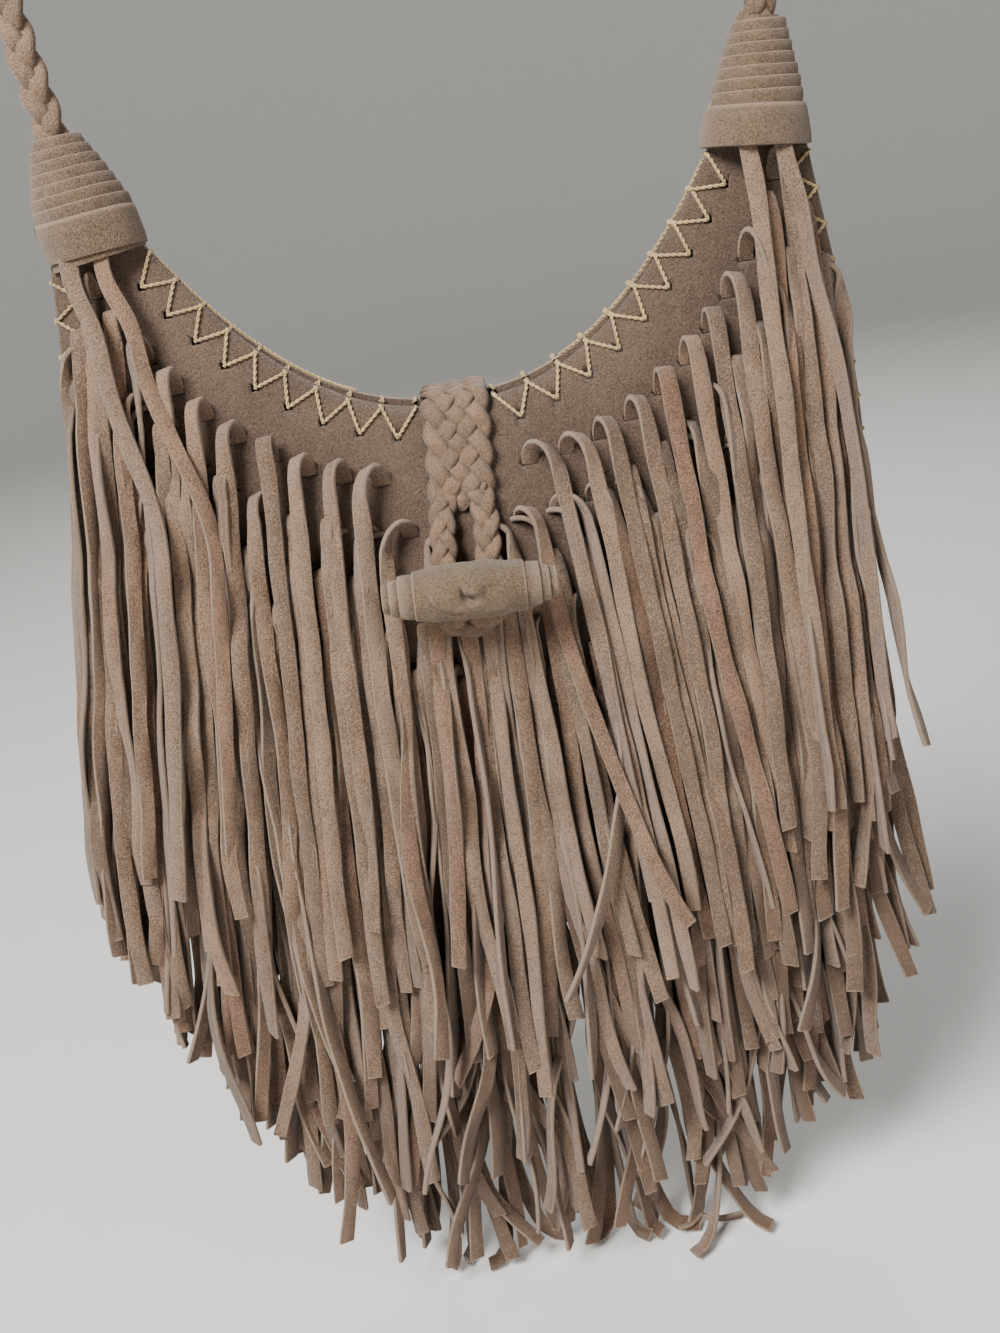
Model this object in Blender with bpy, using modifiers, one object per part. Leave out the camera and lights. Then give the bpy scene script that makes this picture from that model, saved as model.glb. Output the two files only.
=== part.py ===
"""Fringed suede bag on a braided strap: a crescent pouch of two panels, a braided loop
that closes over a rolled toggle, wrapped cones at the strap ends, and tiers of hanging fringe.

Metres, +Z up, the front faces -Y. The origin is the underside of the strap at its top, where a
hook or a shoulder carries the bag. Heights below are measured from the level of the cones' lower
rims, and the "bag" empty carries everything down to its place under the origin.
"""
import math

import bmesh
import bpy
from mathutils import Vector

# Body outline
NECK_HALF_WIDTH = 0.0880
NECK_DEPTH = 0.061
NECK_POWER = 2.3
SHOULDER_HALF_WIDTH = 0.1192
BODY_HALF_WIDTH = 0.130
BELLY_HEIGHT = -0.100
BELLY_DROP = 0.160
BELLY_POWER = 2.6
SIDE_SHARE = 0.30
ARM_TUCK = 0.006
ARM_PINCH = 0.0032

# Body depth
SUEDE = 0.0016
SEAM_GAP = 0.0002
LIP = 0.008
FRONT_BULGE = 0.016
BACK_BULGE = 0.010

# Wrapped cones
CONE_X = 0.1035
CONE_BASE_RADIUS = 0.0180
CONE_TOP_RADIUS = 0.0068
CONE_BAND = 0.0115
CONE_TURN = 0.0038
CONE_TURNS = 7
CONE_LEDGE = 0.0008
CONE_WALL = 0.0014
CONE_DEPTH_RATIO = 0.8
CONE_LEAN = math.radians(7.5)
CONE_STEPS = 24

# Braided strap
STRAP_WIDTH = 0.0095
STRAP_THICKNESS = 0.006
STRAP_INSERT = 0.010
STRAP_HALF_SPAN = 0.114
STRAP_SPRING_HEIGHT = 0.130
STRAP_TOP_HEIGHT = 0.360
STRAP_POWER = 2.2
STRAP_SIDE_POINTS = 8
STRAP_ARCH_POINTS = 44
HANG_HEIGHT = STRAP_TOP_HEIGHT - STRAP_WIDTH / 2

# Closure: braided tab from the back panel, over the mouth, ending in a loop round the toggle
TAB_WIDTH = 0.0225
TAB_THICKNESS = 0.004
TAB_CLEARANCE = 0.0009
TAB_TOP_X = -0.0026
TAB_TOP_RISE = 0.0012
TAB_TURN_POINTS = 3
TAB_LEAN = math.tan(math.radians(6.0))
TAB_BACK_DROP = 0.026
LOOP_SPLIT = -0.089
LOOP_FOOT = -0.1245
LOOP_END = -0.1320
LOOP_SLOT = 0.0066
LOOP_STANDOFF = 0.0288
LOOP_LIFT_START = -0.090
LOOP_LIFT_END = -0.1125
TAB_ROWS_BACK = 4
TAB_ROWS_FRONT = 22

# Toggle: a rolled suede barrel lying across the loop
TOGGLE_HEIGHT = -0.114
TOGGLE_DEPTH = 0.0415
TOGGLE_TILT = math.radians(4.0)
TOGGLE_STEPS = 20
TOGGLE_PROFILE = (
    (0.0275, 0.0050),
    (0.0248, 0.0053),
    (0.0248, 0.0066),
    (0.0215, 0.0069),
    (0.0215, 0.0080),
    (0.0180, 0.0083),
    (0.0180, 0.0089),
    (0.0090, 0.0092),
)
LACE_WIDTH = 0.0050
LACE_THICKNESS = 0.0022

# Fringe: rows of laces threaded through slits, built as tiers of two rows each
ROW_TOP = -0.083
ROW_PITCH = 0.01675
ROW_COUNT = 9
ROW_SPAN = 0.113
ROW_POWER = 2.95
LAST_ROW_RISE = 0.030
SLIT_PITCH = 0.0118
SLIT_LENGTH = 0.0056
SLIT_HEIGHT = 0.0012
SLIT_ROWS = 2
ROW_LIMITS = (0.109, 0.116, 0.121, 0.121, 0.121, 0.121, 0.119, 0.114, 0.106)
TIER_COUNT = 5
TIER_THICKNESS = 0.0022
TIER_PITCH = 0.0048
TIER_STANDOFF = 0.0008
TIER_LENGTH = 0.168
TIER_EASE = 0.016
DRAPE_HALF_WIDTH = 0.110
DRAPE_STEPS = 12
TIER_COLUMNS = 7
TIER_ROWS = 10
HEM_TOOTH = 0.006
FLARE = 0.15
FIRST_TIER_LEFT = -0.0238
FIRST_TIER_RIGHT = 0.0080
TIER_PARTING = 0.0012

# Laces that hang from under the cones
CONE_LACE_WIDTH = 0.0053
CONE_LACE_THICKNESS = 0.0018
CONE_LACE_LENGTHS = (0.185, 0.200)
CONE_LACE_X = (0.1000, 0.1130)
CONE_LACE_ROWS = 12

SUEDE_TAN = (0.30, 0.20, 0.135, 1.0)
SUEDE_PANEL = (0.26, 0.18, 0.125, 1.0)
SUEDE_OLIVE = (0.26, 0.175, 0.10, 1.0)
SUEDE_PALE = (0.42, 0.31, 0.20, 1.0)


def clamp(value, low=0.0, high=1.0):
    """Keep a value between two limits."""
    return max(low, min(high, value))


def smooth(value):
    """Ease from 0 to 1 with level ends."""
    value = clamp(value)
    return value * value * (3.0 - 2.0 * value)


def neckline(x):
    """Height of the mouth's edge."""
    return -NECK_DEPTH * (1.0 - abs(x / NECK_HALF_WIDTH) ** NECK_POWER)


def belly(x):
    """Height of the bottom seam."""
    share = clamp(abs(x) / BODY_HALF_WIDTH)
    return BELLY_HEIGHT - BELLY_DROP * (1.0 - share ** BELLY_POWER) ** (1.0 / BELLY_POWER)


def half_width(z):
    """Half the width between the side seams at a height."""
    if z > BELLY_HEIGHT:
        share = z / BELLY_HEIGHT
        return SHOULDER_HALF_WIDTH + (BODY_HALF_WIDTH - SHOULDER_HALF_WIDTH) * smooth(share) ** 0.6
    share = clamp((BELLY_HEIGHT - z) / BELLY_DROP)
    return BODY_HALF_WIDTH * (1.0 - share ** BELLY_POWER) ** (1.0 / BELLY_POWER)


def fullness(x, z, bulge):
    """Distance from the middle plane to the inner face of a panel."""
    top = neckline(x) if abs(x) < NECK_HALF_WIDTH else 0.0
    down = clamp((top - z) / max(top - belly(x), 1e-6))
    across = 1.0 - clamp(abs(x) / max(half_width(z), 1e-6)) ** 4
    mouth = LIP * (1.0 - down) * (1.0 - clamp(abs(x) / NECK_HALF_WIDTH) ** 2)
    return across * (mouth + bulge * math.sin(math.pi * down ** 0.8))


def seam(share):
    """Point on the side and bottom seam, from the bottom (0) up to the cone (1)."""
    side = 1.0 - SIDE_SHARE
    if share < side:
        angle = share / side * math.pi / 2
        x = BODY_HALF_WIDTH * math.sin(angle) ** (2.0 / BELLY_POWER)
        z = BELLY_HEIGHT - BELLY_DROP * max(math.cos(angle), 0.0) ** (2.0 / BELLY_POWER)
        return x, z
    z = BELLY_HEIGHT * (1.0 - (share - side) / SIDE_SHARE)
    return half_width(z), z


def panel_outline(across, down):
    """Point of the crescent: across runs along the mouth, down from the mouth to the seam."""
    share = min(abs(across), 1.0)
    tuck = (abs(across) - share) / 0.1
    neck_x = NECK_HALF_WIDTH * share + ARM_PINCH * tuck
    neck_z = neckline(NECK_HALF_WIDTH * share) + ARM_TUCK * tuck
    seam_x, seam_z = seam(share)
    seam_x -= ARM_PINCH * tuck
    seam_z += ARM_TUCK * tuck
    x = neck_x + (seam_x - neck_x) * down
    z = neck_z + (seam_z - neck_z) * down
    return math.copysign(x, across), z


def slanted(distance, x, z, bulge):
    """How far along Y a distance square to a panel reaches, where the panel slopes."""
    step = 0.0005
    here = fullness(x, z, bulge)
    slope_z = (fullness(x, z - step, bulge) - here) / step
    slope_x = (fullness(abs(x) + step, z, bulge) - here) / step
    return distance * math.sqrt(1.0 + slope_z ** 2 + slope_x ** 2)


def outer_face(x, z, bulge, distance=0.0):
    """Distance from the middle plane to a panel's outer face, or to a distance outside it."""
    middle = fullness(x, z, bulge) + SEAM_GAP + SUEDE / 2
    return middle + slanted(SUEDE / 2 + distance, x, z, bulge)


def row_height(row, x):
    """Height of a row of slits: the first follows the neckline, the last is nearly level."""
    centre = ROW_TOP - ROW_PITCH * row
    share = row / (ROW_COUNT - 1)
    rise = -ROW_TOP * (1.0 - share) ** 1.2 + LAST_ROW_RISE * share
    return centre + rise * (abs(x) / ROW_SPAN) ** ROW_POWER


def tier_top(tier, x):
    """Height of a tier's upper edge, level again past the curve of the body's side."""
    return row_height(2 * tier, min(abs(x), DRAPE_HALF_WIDTH))


def hanging_depth(x, z, tier):
    """Y of the middle of a tier: clear of the panel above it and of the tiers inside it."""
    x = min(abs(x), DRAPE_HALF_WIDTH)
    top = tier_top(tier, x)
    outward = 0.0
    for step in range(DRAPE_STEPS + 1):
        level = top + (z - top) * step / DRAPE_STEPS
        if level > belly(x):
            proud = TIER_STANDOFF + TIER_THICKNESS / 2
            outward = max(outward, outer_face(x, level, FRONT_BULGE, proud))
    layers = 0.0
    for lower in range(tier + 1, TIER_COUNT):
        start = tier_top(lower, x) + TIER_EASE + 0.002
        layers += smooth((start - z) / TIER_EASE)
    return -(outward + TIER_PITCH * layers)


def suede(name, colour):
    """A matt suede colour."""
    material = bpy.data.materials.new(name)
    material.use_nodes = True
    shader = material.node_tree.nodes["Principled BSDF"]
    shader.inputs["Base Color"].default_value = colour
    shader.inputs["Roughness"].default_value = 0.95
    shader.inputs["Metallic"].default_value = 0.0
    material.diffuse_color = colour
    return material


def add_object(name, data, colour, collection, parent):
    """Link an object to its collection and parent, with a material of its own."""
    piece = bpy.data.objects.new(name, data)
    collection.objects.link(piece)
    piece.parent = parent
    data.materials.append(suede(name, colour))
    return piece


def sheet_object(name, columns, rows, place, colour, collection, parent):
    """A grid of faces laid over a surface: place(across, down) gives each corner."""
    bm = bmesh.new()
    bmesh.ops.create_grid(bm, x_segments=columns, y_segments=rows, size=1.0)
    for vert in bm.verts:
        vert.co = place(vert.co.x, (1.0 - vert.co.y) / 2)
    mesh = bpy.data.meshes.new(name)
    bm.to_mesh(mesh)
    bm.free()
    mesh.shade_smooth()
    return add_object(name, mesh, colour, collection, parent)


def thicken(piece, thickness):
    """Give a sheet its thickness, half to each side."""
    solid = piece.modifiers.new("thickness", "SOLIDIFY")
    solid.thickness = thickness
    solid.offset = 0.0
    return piece


def panel(name, columns, rows, side, bulge, collection, parent):
    """One panel of the pouch; side is -1 at the front and 1 at the back."""

    def place(across, down):
        reach = 1.1 * across
        x, z = panel_outline(reach, down)
        tucked = abs(reach) > 1.0
        depth = 0.0 if tucked else fullness(x, z, bulge)
        return Vector((side * -x, side * (depth + SEAM_GAP + SUEDE / 2), z))

    piece = sheet_object(name, columns, rows, place, SUEDE_PANEL, collection, parent)
    return thicken(piece, SUEDE)


def slit_places(row):
    """Centres of a row's slits, an equal pitch apart along the row's curve."""
    limit = ROW_LIMITS[row]
    places = []
    travelled = SLIT_PITCH / 2 if row % 2 == 0 else 0.0
    step = 0.0005
    x = 0.0
    while x < limit:
        if travelled >= SLIT_PITCH or (not places and row % 2 == 1):
            places.append(x)
            travelled = 0.0
        rise = row_height(row, x + step) - row_height(row, x)
        travelled += math.hypot(step, rise)
        x += step
    return places


def slit_cutters(collection, parent):
    """Small blocks that cut the first rows of slits out of the front panel."""
    bm = bmesh.new()
    for row in range(SLIT_ROWS):
        for x in slit_places(row):
            for sign in (-1.0, 1.0):
                if x < 0.001 and sign > 0:
                    continue
                centre = sign * x
                z = row_height(row, centre)
                block = bmesh.ops.create_cube(bm, size=1.0)["verts"]
                size = Vector((SLIT_LENGTH, 0.012, SLIT_HEIGHT))
                bmesh.ops.scale(bm, vec=size, verts=block)
                place = Vector((centre, -outer_face(centre, z, FRONT_BULGE, -SUEDE / 2), z))
                bmesh.ops.translate(bm, vec=place, verts=block)
    mesh = bpy.data.meshes.new("slit_cutters")
    bm.to_mesh(mesh)
    bm.free()
    cutter = bpy.data.objects.new("slit_cutters", mesh)
    collection.objects.link(cutter)
    cutter.parent = parent
    cutter.hide_render = True
    cutter.display_type = "WIRE"
    return cutter


def cut(piece, cutter):
    """Cut one object out of another."""
    modifier = piece.modifiers.new("cut", "BOOLEAN")
    modifier.operation = "DIFFERENCE"
    modifier.solver = "EXACT"
    modifier.object = cutter


def turned(name, profile, steps, axis, colour, collection, parent):
    """A closed profile of (radius, height) points, turned with a Screw modifier."""
    bm = bmesh.new()
    verts = []
    for radius, height in profile:
        verts.append(bm.verts.new((radius, 0.0, height)))
    for index, vert in enumerate(verts[1:]):
        bm.edges.new((verts[index], vert))
    if profile[0][0] > 0:
        bm.edges.new((verts[-1], verts[0]))
    mesh = bpy.data.meshes.new(name)
    bm.to_mesh(mesh)
    bm.free()
    piece = add_object(name, mesh, colour, collection, parent)
    screw = piece.modifiers.new("turn", "SCREW")
    screw.axis = axis
    screw.steps = steps
    screw.render_steps = steps
    screw.use_merge_vertices = True
    screw.merge_threshold = 0.00001
    screw.use_smooth_shade = True
    return piece


def cone_profile():
    """Outer side of the wrapped cone from top to bottom, then the inner side back up."""
    length = CONE_BAND + CONE_TURN * CONE_TURNS
    slope = (CONE_BASE_RADIUS - CONE_TOP_RADIUS) / length
    points = []
    for turn in range(CONE_TURNS, 0, -1):
        top = CONE_BAND + CONE_TURN * turn
        radius = CONE_BASE_RADIUS - slope * top
        points.append((radius, top))
        points.append((radius + slope * CONE_TURN - CONE_LEDGE, top - CONE_TURN))
    points.append((CONE_BASE_RADIUS - slope * CONE_BAND, CONE_BAND))
    points.append((CONE_BASE_RADIUS, 0.0))
    points.append((CONE_BASE_RADIUS - CONE_WALL, 0.0))
    points.append((CONE_BASE_RADIUS - slope * CONE_BAND - CONE_WALL - CONE_LEDGE, CONE_BAND))
    points.append((CONE_TOP_RADIUS - CONE_WALL / 2, length))
    return points


def cones(collection, parent):
    """The two wrapped cones that join the strap to the arms."""
    for name, sign in (("cone_wrap_left", -1.0), ("cone_wrap_right", 1.0)):
        piece = turned(name, cone_profile(), CONE_STEPS, "Z", SUEDE_OLIVE, collection, parent)
        piece.location = (sign * CONE_X, 0.0, 0.0)
        piece.scale = (1.0, CONE_DEPTH_RATIO, 1.0)
        piece.rotation_euler = (0.0, sign * CONE_LEAN, 0.0)


def strap_route():
    """Right half of the strap's centre line, from inside the cone up to the top."""
    length = CONE_BAND + CONE_TURN * CONE_TURNS
    lean = Vector((math.sin(CONE_LEAN), 0.0, math.cos(CONE_LEAN)))
    start = Vector((CONE_X, 0.0, 0.0)) + lean * (length - STRAP_INSERT)
    leave = Vector((CONE_X, 0.0, 0.0)) + lean * length
    points = [start, leave]
    for index in range(1, STRAP_SIDE_POINTS + 1):
        share = index / STRAP_SIDE_POINTS
        z = leave.z + (STRAP_SPRING_HEIGHT - leave.z) * share
        x = STRAP_HALF_SPAN - (STRAP_HALF_SPAN - leave.x) * (1.0 - share) ** 2
        points.append(Vector((x, 0.0, z)))
    rise = STRAP_TOP_HEIGHT - STRAP_SPRING_HEIGHT
    half = STRAP_ARCH_POINTS // 2
    for index in range(1, half + 1):
        angle = index / half * math.pi / 2
        x = STRAP_HALF_SPAN * max(math.cos(angle), 0.0) ** (2.0 / STRAP_POWER)
        z = STRAP_SPRING_HEIGHT + rise * math.sin(angle) ** (2.0 / STRAP_POWER)
        points.append(Vector((x, 0.0, z)))
    return points


def oval_section(name, width, height, collection):
    """A guide curve: the oval section that the strap's centre line carries."""
    data = bpy.data.curves.new(name, "CURVE")
    data.dimensions = "2D"
    spline = data.splines.new("POLY")
    sides = 10
    spline.points.add(sides - 1)
    for index in range(sides):
        angle = -2 * math.pi * index / sides
        spline.points[index].co = (width / 2 * math.cos(angle), height / 2 * math.sin(angle), 0, 1)
    spline.use_cyclic_u = True
    guide = bpy.data.objects.new(name, data)
    collection.objects.link(guide)
    guide.hide_render = True
    guide.display_type = "WIRE"
    return guide


def strap(collection, guides, parent):
    """The braided strap, carried over its top in one arch."""
    right = strap_route()
    left = [Vector((-point.x, 0.0, point.z)) for point in right[:-1]]
    route = left + right[::-1]
    data = bpy.data.curves.new("strap", "CURVE")
    data.dimensions = "3D"
    data.twist_mode = "MINIMUM"
    data.bevel_mode = "OBJECT"
    data.bevel_object = oval_section("strap_section", STRAP_THICKNESS, STRAP_WIDTH, guides)
    data.use_fill_caps = True
    spline = data.splines.new("POLY")
    spline.points.add(len(route) - 1)
    for index, point in enumerate(route):
        spline.points[index].co = (point.x, point.y, point.z, 1.0)
    add_object("strap", data, SUEDE_TAN, collection, parent)


def tab_middle(z):
    """X of the tab's centre line, which leans a little to the left as it falls."""
    return TAB_TOP_X + TAB_LEAN * (z + NECK_DEPTH)


def tab_depth(z):
    """Y of the tab's middle down the front: on the panel, then lifted over the fringe."""
    x = tab_middle(z)
    on_panel = -outer_face(x, z, FRONT_BULGE, TAB_CLEARANCE + TAB_THICKNESS / 2)
    lift = smooth((LOOP_LIFT_START - z) / (LOOP_LIFT_START - LOOP_LIFT_END))
    return on_panel + (-LOOP_STANDOFF - on_panel) * lift


def tab_over_lip(bulge):
    """Quarter turn of the tab over one lip of the mouth: (distance from the middle, height)."""
    lip = outer_face(0.0, -NECK_DEPTH, bulge)
    radius = TAB_THICKNESS / 2 + TAB_TOP_RISE
    turn = []
    for index in range(TAB_TURN_POINTS + 1):
        angle = index / TAB_TURN_POINTS * math.pi / 2
        turn.append((lip + radius * math.cos(angle), -NECK_DEPTH + radius * math.sin(angle)))
    return turn


def tab_route():
    """Centre line of the tab from its foot on the back panel, over the mouth, to the loop's end."""
    route = []
    for index in range(TAB_ROWS_BACK):
        z = -NECK_DEPTH - TAB_BACK_DROP * (1.0 - index / TAB_ROWS_BACK)
        depth = outer_face(0.0, z, BACK_BULGE, TAB_CLEARANCE + TAB_THICKNESS / 2)
        route.append(Vector((TAB_TOP_X, depth, z)))
    for depth, z in tab_over_lip(BACK_BULGE):
        route.append(Vector((TAB_TOP_X, depth, z)))
    for depth, z in tab_over_lip(FRONT_BULGE)[::-1]:
        route.append(Vector((TAB_TOP_X, -depth, z)))
    for index in range(1, TAB_ROWS_FRONT + 1):
        z = -NECK_DEPTH + (LOOP_END + NECK_DEPTH) * index / TAB_ROWS_FRONT
        route.append(Vector((tab_middle(z), tab_depth(z), z)))
    return route


def closure_tab(collection, parent):
    """A flat braid that splits into two arms round a slot and joins again below the toggle."""
    route = tab_route()
    last = len(route) - 1
    edges = (-TAB_WIDTH / 2, -LOOP_SLOT / 2, LOOP_SLOT / 2, TAB_WIDTH / 2)

    def place(across, down):
        index = round(down * last)
        point = route[index]
        column = round((across + 1.0) * 1.5)
        x = edges[column]
        if index == last:
            x *= 0.7
        return point + Vector((x, 0.0, 0.0))

    piece = sheet_object("closure_tab", 3, last, place, SUEDE_TAN, collection, parent)
    bm = bmesh.new()
    bm.from_mesh(piece.data)
    slot = []
    for face in bm.faces:
        centre = face.calc_center_median()
        in_slot = LOOP_FOOT < centre.z < LOOP_SPLIT and centre.y < 0.0
        if in_slot and abs(centre.x - tab_middle(centre.z)) < LOOP_SLOT / 4:
            slot.append(face)
    bmesh.ops.delete(bm, geom=slot, context="FACES")
    bm.to_mesh(piece.data)
    bm.free()
    thicken(piece, TAB_THICKNESS)


def toggle(collection, parent):
    """The rolled toggle, on the axis of the lace that holds it."""
    axis = bpy.data.objects.new("toggle_axis", None)
    collection.objects.link(axis)
    axis.parent = parent
    axis.location = (tab_middle(TOGGLE_HEIGHT), -TOGGLE_DEPTH, TOGGLE_HEIGHT)
    axis.rotation_euler = (0.0, TOGGLE_TILT, 0.0)
    right = [(radius, reach) for reach, radius in TOGGLE_PROFILE]
    left = [(radius, -reach) for radius, reach in right[::-1]]
    profile = [(0.0, right[0][1])] + right + left + [(0.0, left[-1][1])]
    piece = turned("toggle", profile, TOGGLE_STEPS, "Z", SUEDE_PALE, collection, axis)
    piece.rotation_euler = (0.0, math.pi / 2, 0.0)


def toggle_lace(collection, parent):
    """The flat lace from the front panel through the loop's slot to the back of the toggle."""
    x = tab_middle(TOGGLE_HEIGHT)
    near = -outer_face(x, TOGGLE_HEIGHT, FRONT_BULGE, TAB_CLEARANCE)
    far = -TOGGLE_DEPTH + TOGGLE_PROFILE[-1][1] + TAB_CLEARANCE
    bm = bmesh.new()
    bmesh.ops.create_cube(bm, size=1.0)
    size = Vector((LACE_WIDTH, near - far, LACE_THICKNESS))
    bmesh.ops.scale(bm, vec=size, verts=bm.verts)
    mesh = bpy.data.meshes.new("toggle_lace")
    bm.to_mesh(mesh)
    bm.free()
    piece = add_object("toggle_lace", mesh, SUEDE_PALE, collection, parent)
    piece.location = (x, (near + far) / 2, TOGGLE_HEIGHT)
    soften = piece.modifiers.new("soften", "BEVEL")
    soften.width = 0.0004
    soften.segments = 1


def tier_half(name, tier, inner, outer, collection, parent):
    """Half a tier of fringe: a hanging curtain with a toothed hem, from inner to outer."""

    def place(across, down):
        x = inner + (outer - inner) * (across + 1.0) / 2
        top = tier_top(tier, x)
        column = round((across + 1.0) / 2 * TIER_COLUMNS)
        tooth = HEM_TOOTH * (1 if column % 2 else -1) if down > 0.999 else 0.0
        z = top - TIER_LENGTH * down + tooth
        spread = FLARE * (top - z) * (abs(x) / BODY_HALF_WIDTH) ** 2
        x += math.copysign(spread, x)
        return Vector((x, hanging_depth(x, z, tier), z))

    piece = sheet_object(name, TIER_COLUMNS, TIER_ROWS, place, SUEDE_TAN, collection, parent)
    return thicken(piece, TIER_THICKNESS)


def fringe(collection, parent):
    """Five tiers of fringe in left and right halves."""
    for tier in range(TIER_COUNT):
        limit = ROW_LIMITS[2 * tier]
        parting = tab_middle(TOGGLE_HEIGHT)
        left = FIRST_TIER_LEFT if tier == 0 else parting - TIER_PARTING
        right = FIRST_TIER_RIGHT if tier == 0 else parting + TIER_PARTING
        number = tier + 1
        tier_half(f"fringe_tier_{number}_left", tier, -limit, left, collection, parent)
        tier_half(f"fringe_tier_{number}_right", tier, right, limit, collection, parent)


def cone_laces(collection, parent):
    """Two laces that hang in front of the fringe from under each cone."""
    for side, sign in (("left", -1.0), ("right", 1.0)):
        for number, reach in enumerate(CONE_LACE_X):
            length = CONE_LACE_LENGTHS[number]

            def place(across, down, sign=sign, reach=reach, length=length):
                top = -0.0006
                z = top - length * down
                x = reach + FLARE * (top - z) * (reach / BODY_HALF_WIDTH) ** 2
                out = TIER_PITCH * smooth((top - z) / 0.03)
                y = hanging_depth(x, z, 0) - out - 0.0012
                side_x = sign * x + across * CONE_LACE_WIDTH / 2
                return Vector((side_x, y, z))

            name = f"cone_lace_{side}_{number + 1}"
            piece = sheet_object(name, 1, CONE_LACE_ROWS, place, SUEDE_TAN, collection, parent)
            thicken(piece, CONE_LACE_THICKNESS)


def build():
    """Clear the scene and model the bag."""
    for old in list(bpy.data.objects):
        bpy.data.objects.remove(old, do_unlink=True)
    collection = bpy.data.collections.new("fringed_suede_bag")
    guides = bpy.data.collections.new("cutters_and_guides")
    bpy.context.scene.collection.children.link(collection)
    bpy.context.scene.collection.children.link(guides)
    bag = bpy.data.objects.new("bag", None)
    collection.objects.link(bag)
    bag.location = (0.0, 0.0, -HANG_HEIGHT)

    front = panel("front_panel", 30, 12, -1.0, FRONT_BULGE, collection, bag)
    cut(front, slit_cutters(guides, bag))
    panel("back_panel", 24, 9, 1.0, BACK_BULGE, collection, bag)
    cones(collection, bag)
    strap(collection, guides, bag)
    closure_tab(collection, bag)
    toggle(collection, bag)
    toggle_lace(collection, bag)
    fringe(collection, bag)
    cone_laces(collection, bag)


build()
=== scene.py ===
"""Fringed suede bag: a crescent pouch with zigzag stitching, wound cones, a braided strap and
closure, a rolled toggle and nine rows of laces.

Metres, +Z up, the front faces -Y. Shapes are worked out from the level of the cones' lower rims,
and every piece is moved down to its place in the frame when it is finished.
"""
import math
import random
from typing import NamedTuple

import bmesh
import bpy
from bpy.props import FloatProperty, FloatVectorProperty, IntProperty, PointerProperty
from mathutils import Matrix, Vector, noise


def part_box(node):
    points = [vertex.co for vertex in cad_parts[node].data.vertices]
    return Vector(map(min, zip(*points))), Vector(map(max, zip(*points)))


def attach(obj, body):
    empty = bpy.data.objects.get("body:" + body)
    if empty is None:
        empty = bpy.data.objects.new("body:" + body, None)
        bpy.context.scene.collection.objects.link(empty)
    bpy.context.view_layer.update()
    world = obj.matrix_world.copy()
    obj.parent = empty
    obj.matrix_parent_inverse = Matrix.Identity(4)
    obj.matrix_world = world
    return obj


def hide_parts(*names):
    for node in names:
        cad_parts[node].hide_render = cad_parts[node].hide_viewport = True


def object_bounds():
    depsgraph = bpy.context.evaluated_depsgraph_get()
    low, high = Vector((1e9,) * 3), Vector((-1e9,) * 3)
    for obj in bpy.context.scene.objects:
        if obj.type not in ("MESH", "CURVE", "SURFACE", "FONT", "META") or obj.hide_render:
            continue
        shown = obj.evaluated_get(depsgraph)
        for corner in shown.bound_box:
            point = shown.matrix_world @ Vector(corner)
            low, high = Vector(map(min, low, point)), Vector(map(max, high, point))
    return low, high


bl_info = {
    "name": "Fringed suede bag",
    "version": (1, 0, 0),
    "blender": (4, 5, 0),
    "location": "View3D > Sidebar > Suede bag",
    "description": "Models a fringed suede bag with braided strap and rolled toggle",
    "category": "Add Mesh",
}

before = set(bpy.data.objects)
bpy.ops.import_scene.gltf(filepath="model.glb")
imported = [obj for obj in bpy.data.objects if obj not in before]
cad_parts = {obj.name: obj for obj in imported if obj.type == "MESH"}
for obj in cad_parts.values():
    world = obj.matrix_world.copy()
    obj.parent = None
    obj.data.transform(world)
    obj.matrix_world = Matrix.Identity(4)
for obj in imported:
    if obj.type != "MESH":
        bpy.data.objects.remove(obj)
CAD_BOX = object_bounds()

X = Vector((1.0, 0.0, 0.0))
Y = Vector((0.0, 1.0, 0.0))
Z = Vector((0.0, 0.0, 1.0))
FINE_STEP = 0.0005
SIDES = (("left", -1.0), ("right", 1.0))
NEEDLE_HOLE = (0.0026, 0.010, 0.0023)

# Body outline
NECK_HALF_WIDTH = 0.0880
NECK_DEPTH = 0.061
NECK_POWER = 2.3
SHOULDER_HALF_WIDTH = 0.1192
BODY_HALF_WIDTH = 0.130
BELLY_HEIGHT = -0.100
BELLY_DROP = 0.160
BELLY_POWER = 2.6
SIDE_SHARE = 0.30
ARM_TUCK = 0.006
ARM_PINCH = 0.0032

# Body depth
SUEDE = 0.0016
SEAM_GAP = 0.0002
LIP = 0.008
FRONT_BULGE = 0.016
BACK_BULGE = 0.010

# Cones and strap
CONE_X = 0.1035
CONE_LENGTH = 0.0381
CONE_BASE_RADIUS = 0.0180
CONE_TOP_RADIUS = 0.0068
CONE_BAND = 0.0115
CONE_DEPTH_RATIO = 0.8
CONE_LEAN = math.radians(7.5)
STRAP_WIDTH = 0.0095
STRAP_HALF_SPAN = 0.114
STRAP_SPRING_HEIGHT = 0.130
STRAP_TOP_HEIGHT = 0.360
STRAP_POWER = 2.2
STRAP_INSERT = 0.008
STRAP_PERIOD = 0.031

# Closure
TAB_WIDTH = 0.0225
TAB_THICKNESS = 0.004
TAB_CLEARANCE = 0.0009
TAB_TOP_X = -0.0026
TAB_TOP_RISE = 0.0012
TAB_LEAN = math.tan(math.radians(6.0))
TAB_BACK_DROP = 0.026
TAB_PERIOD = 0.054
LOOP_SPLIT = -0.089
LOOP_TUCK = 0.0022
LOOP_ARM = 0.0071
LOOP_TURN = -0.1222
LOOP_WIDE = 0.0090
LOOP_WIDTH = 0.0094
LOOP_PERIOD = 0.0225
LOOP_STANDOFF = 0.0288
LOOP_LIFT_START = -0.090
LOOP_LIFT_END = -0.1125
TOGGLE_TILT = math.radians(4.0)
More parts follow.
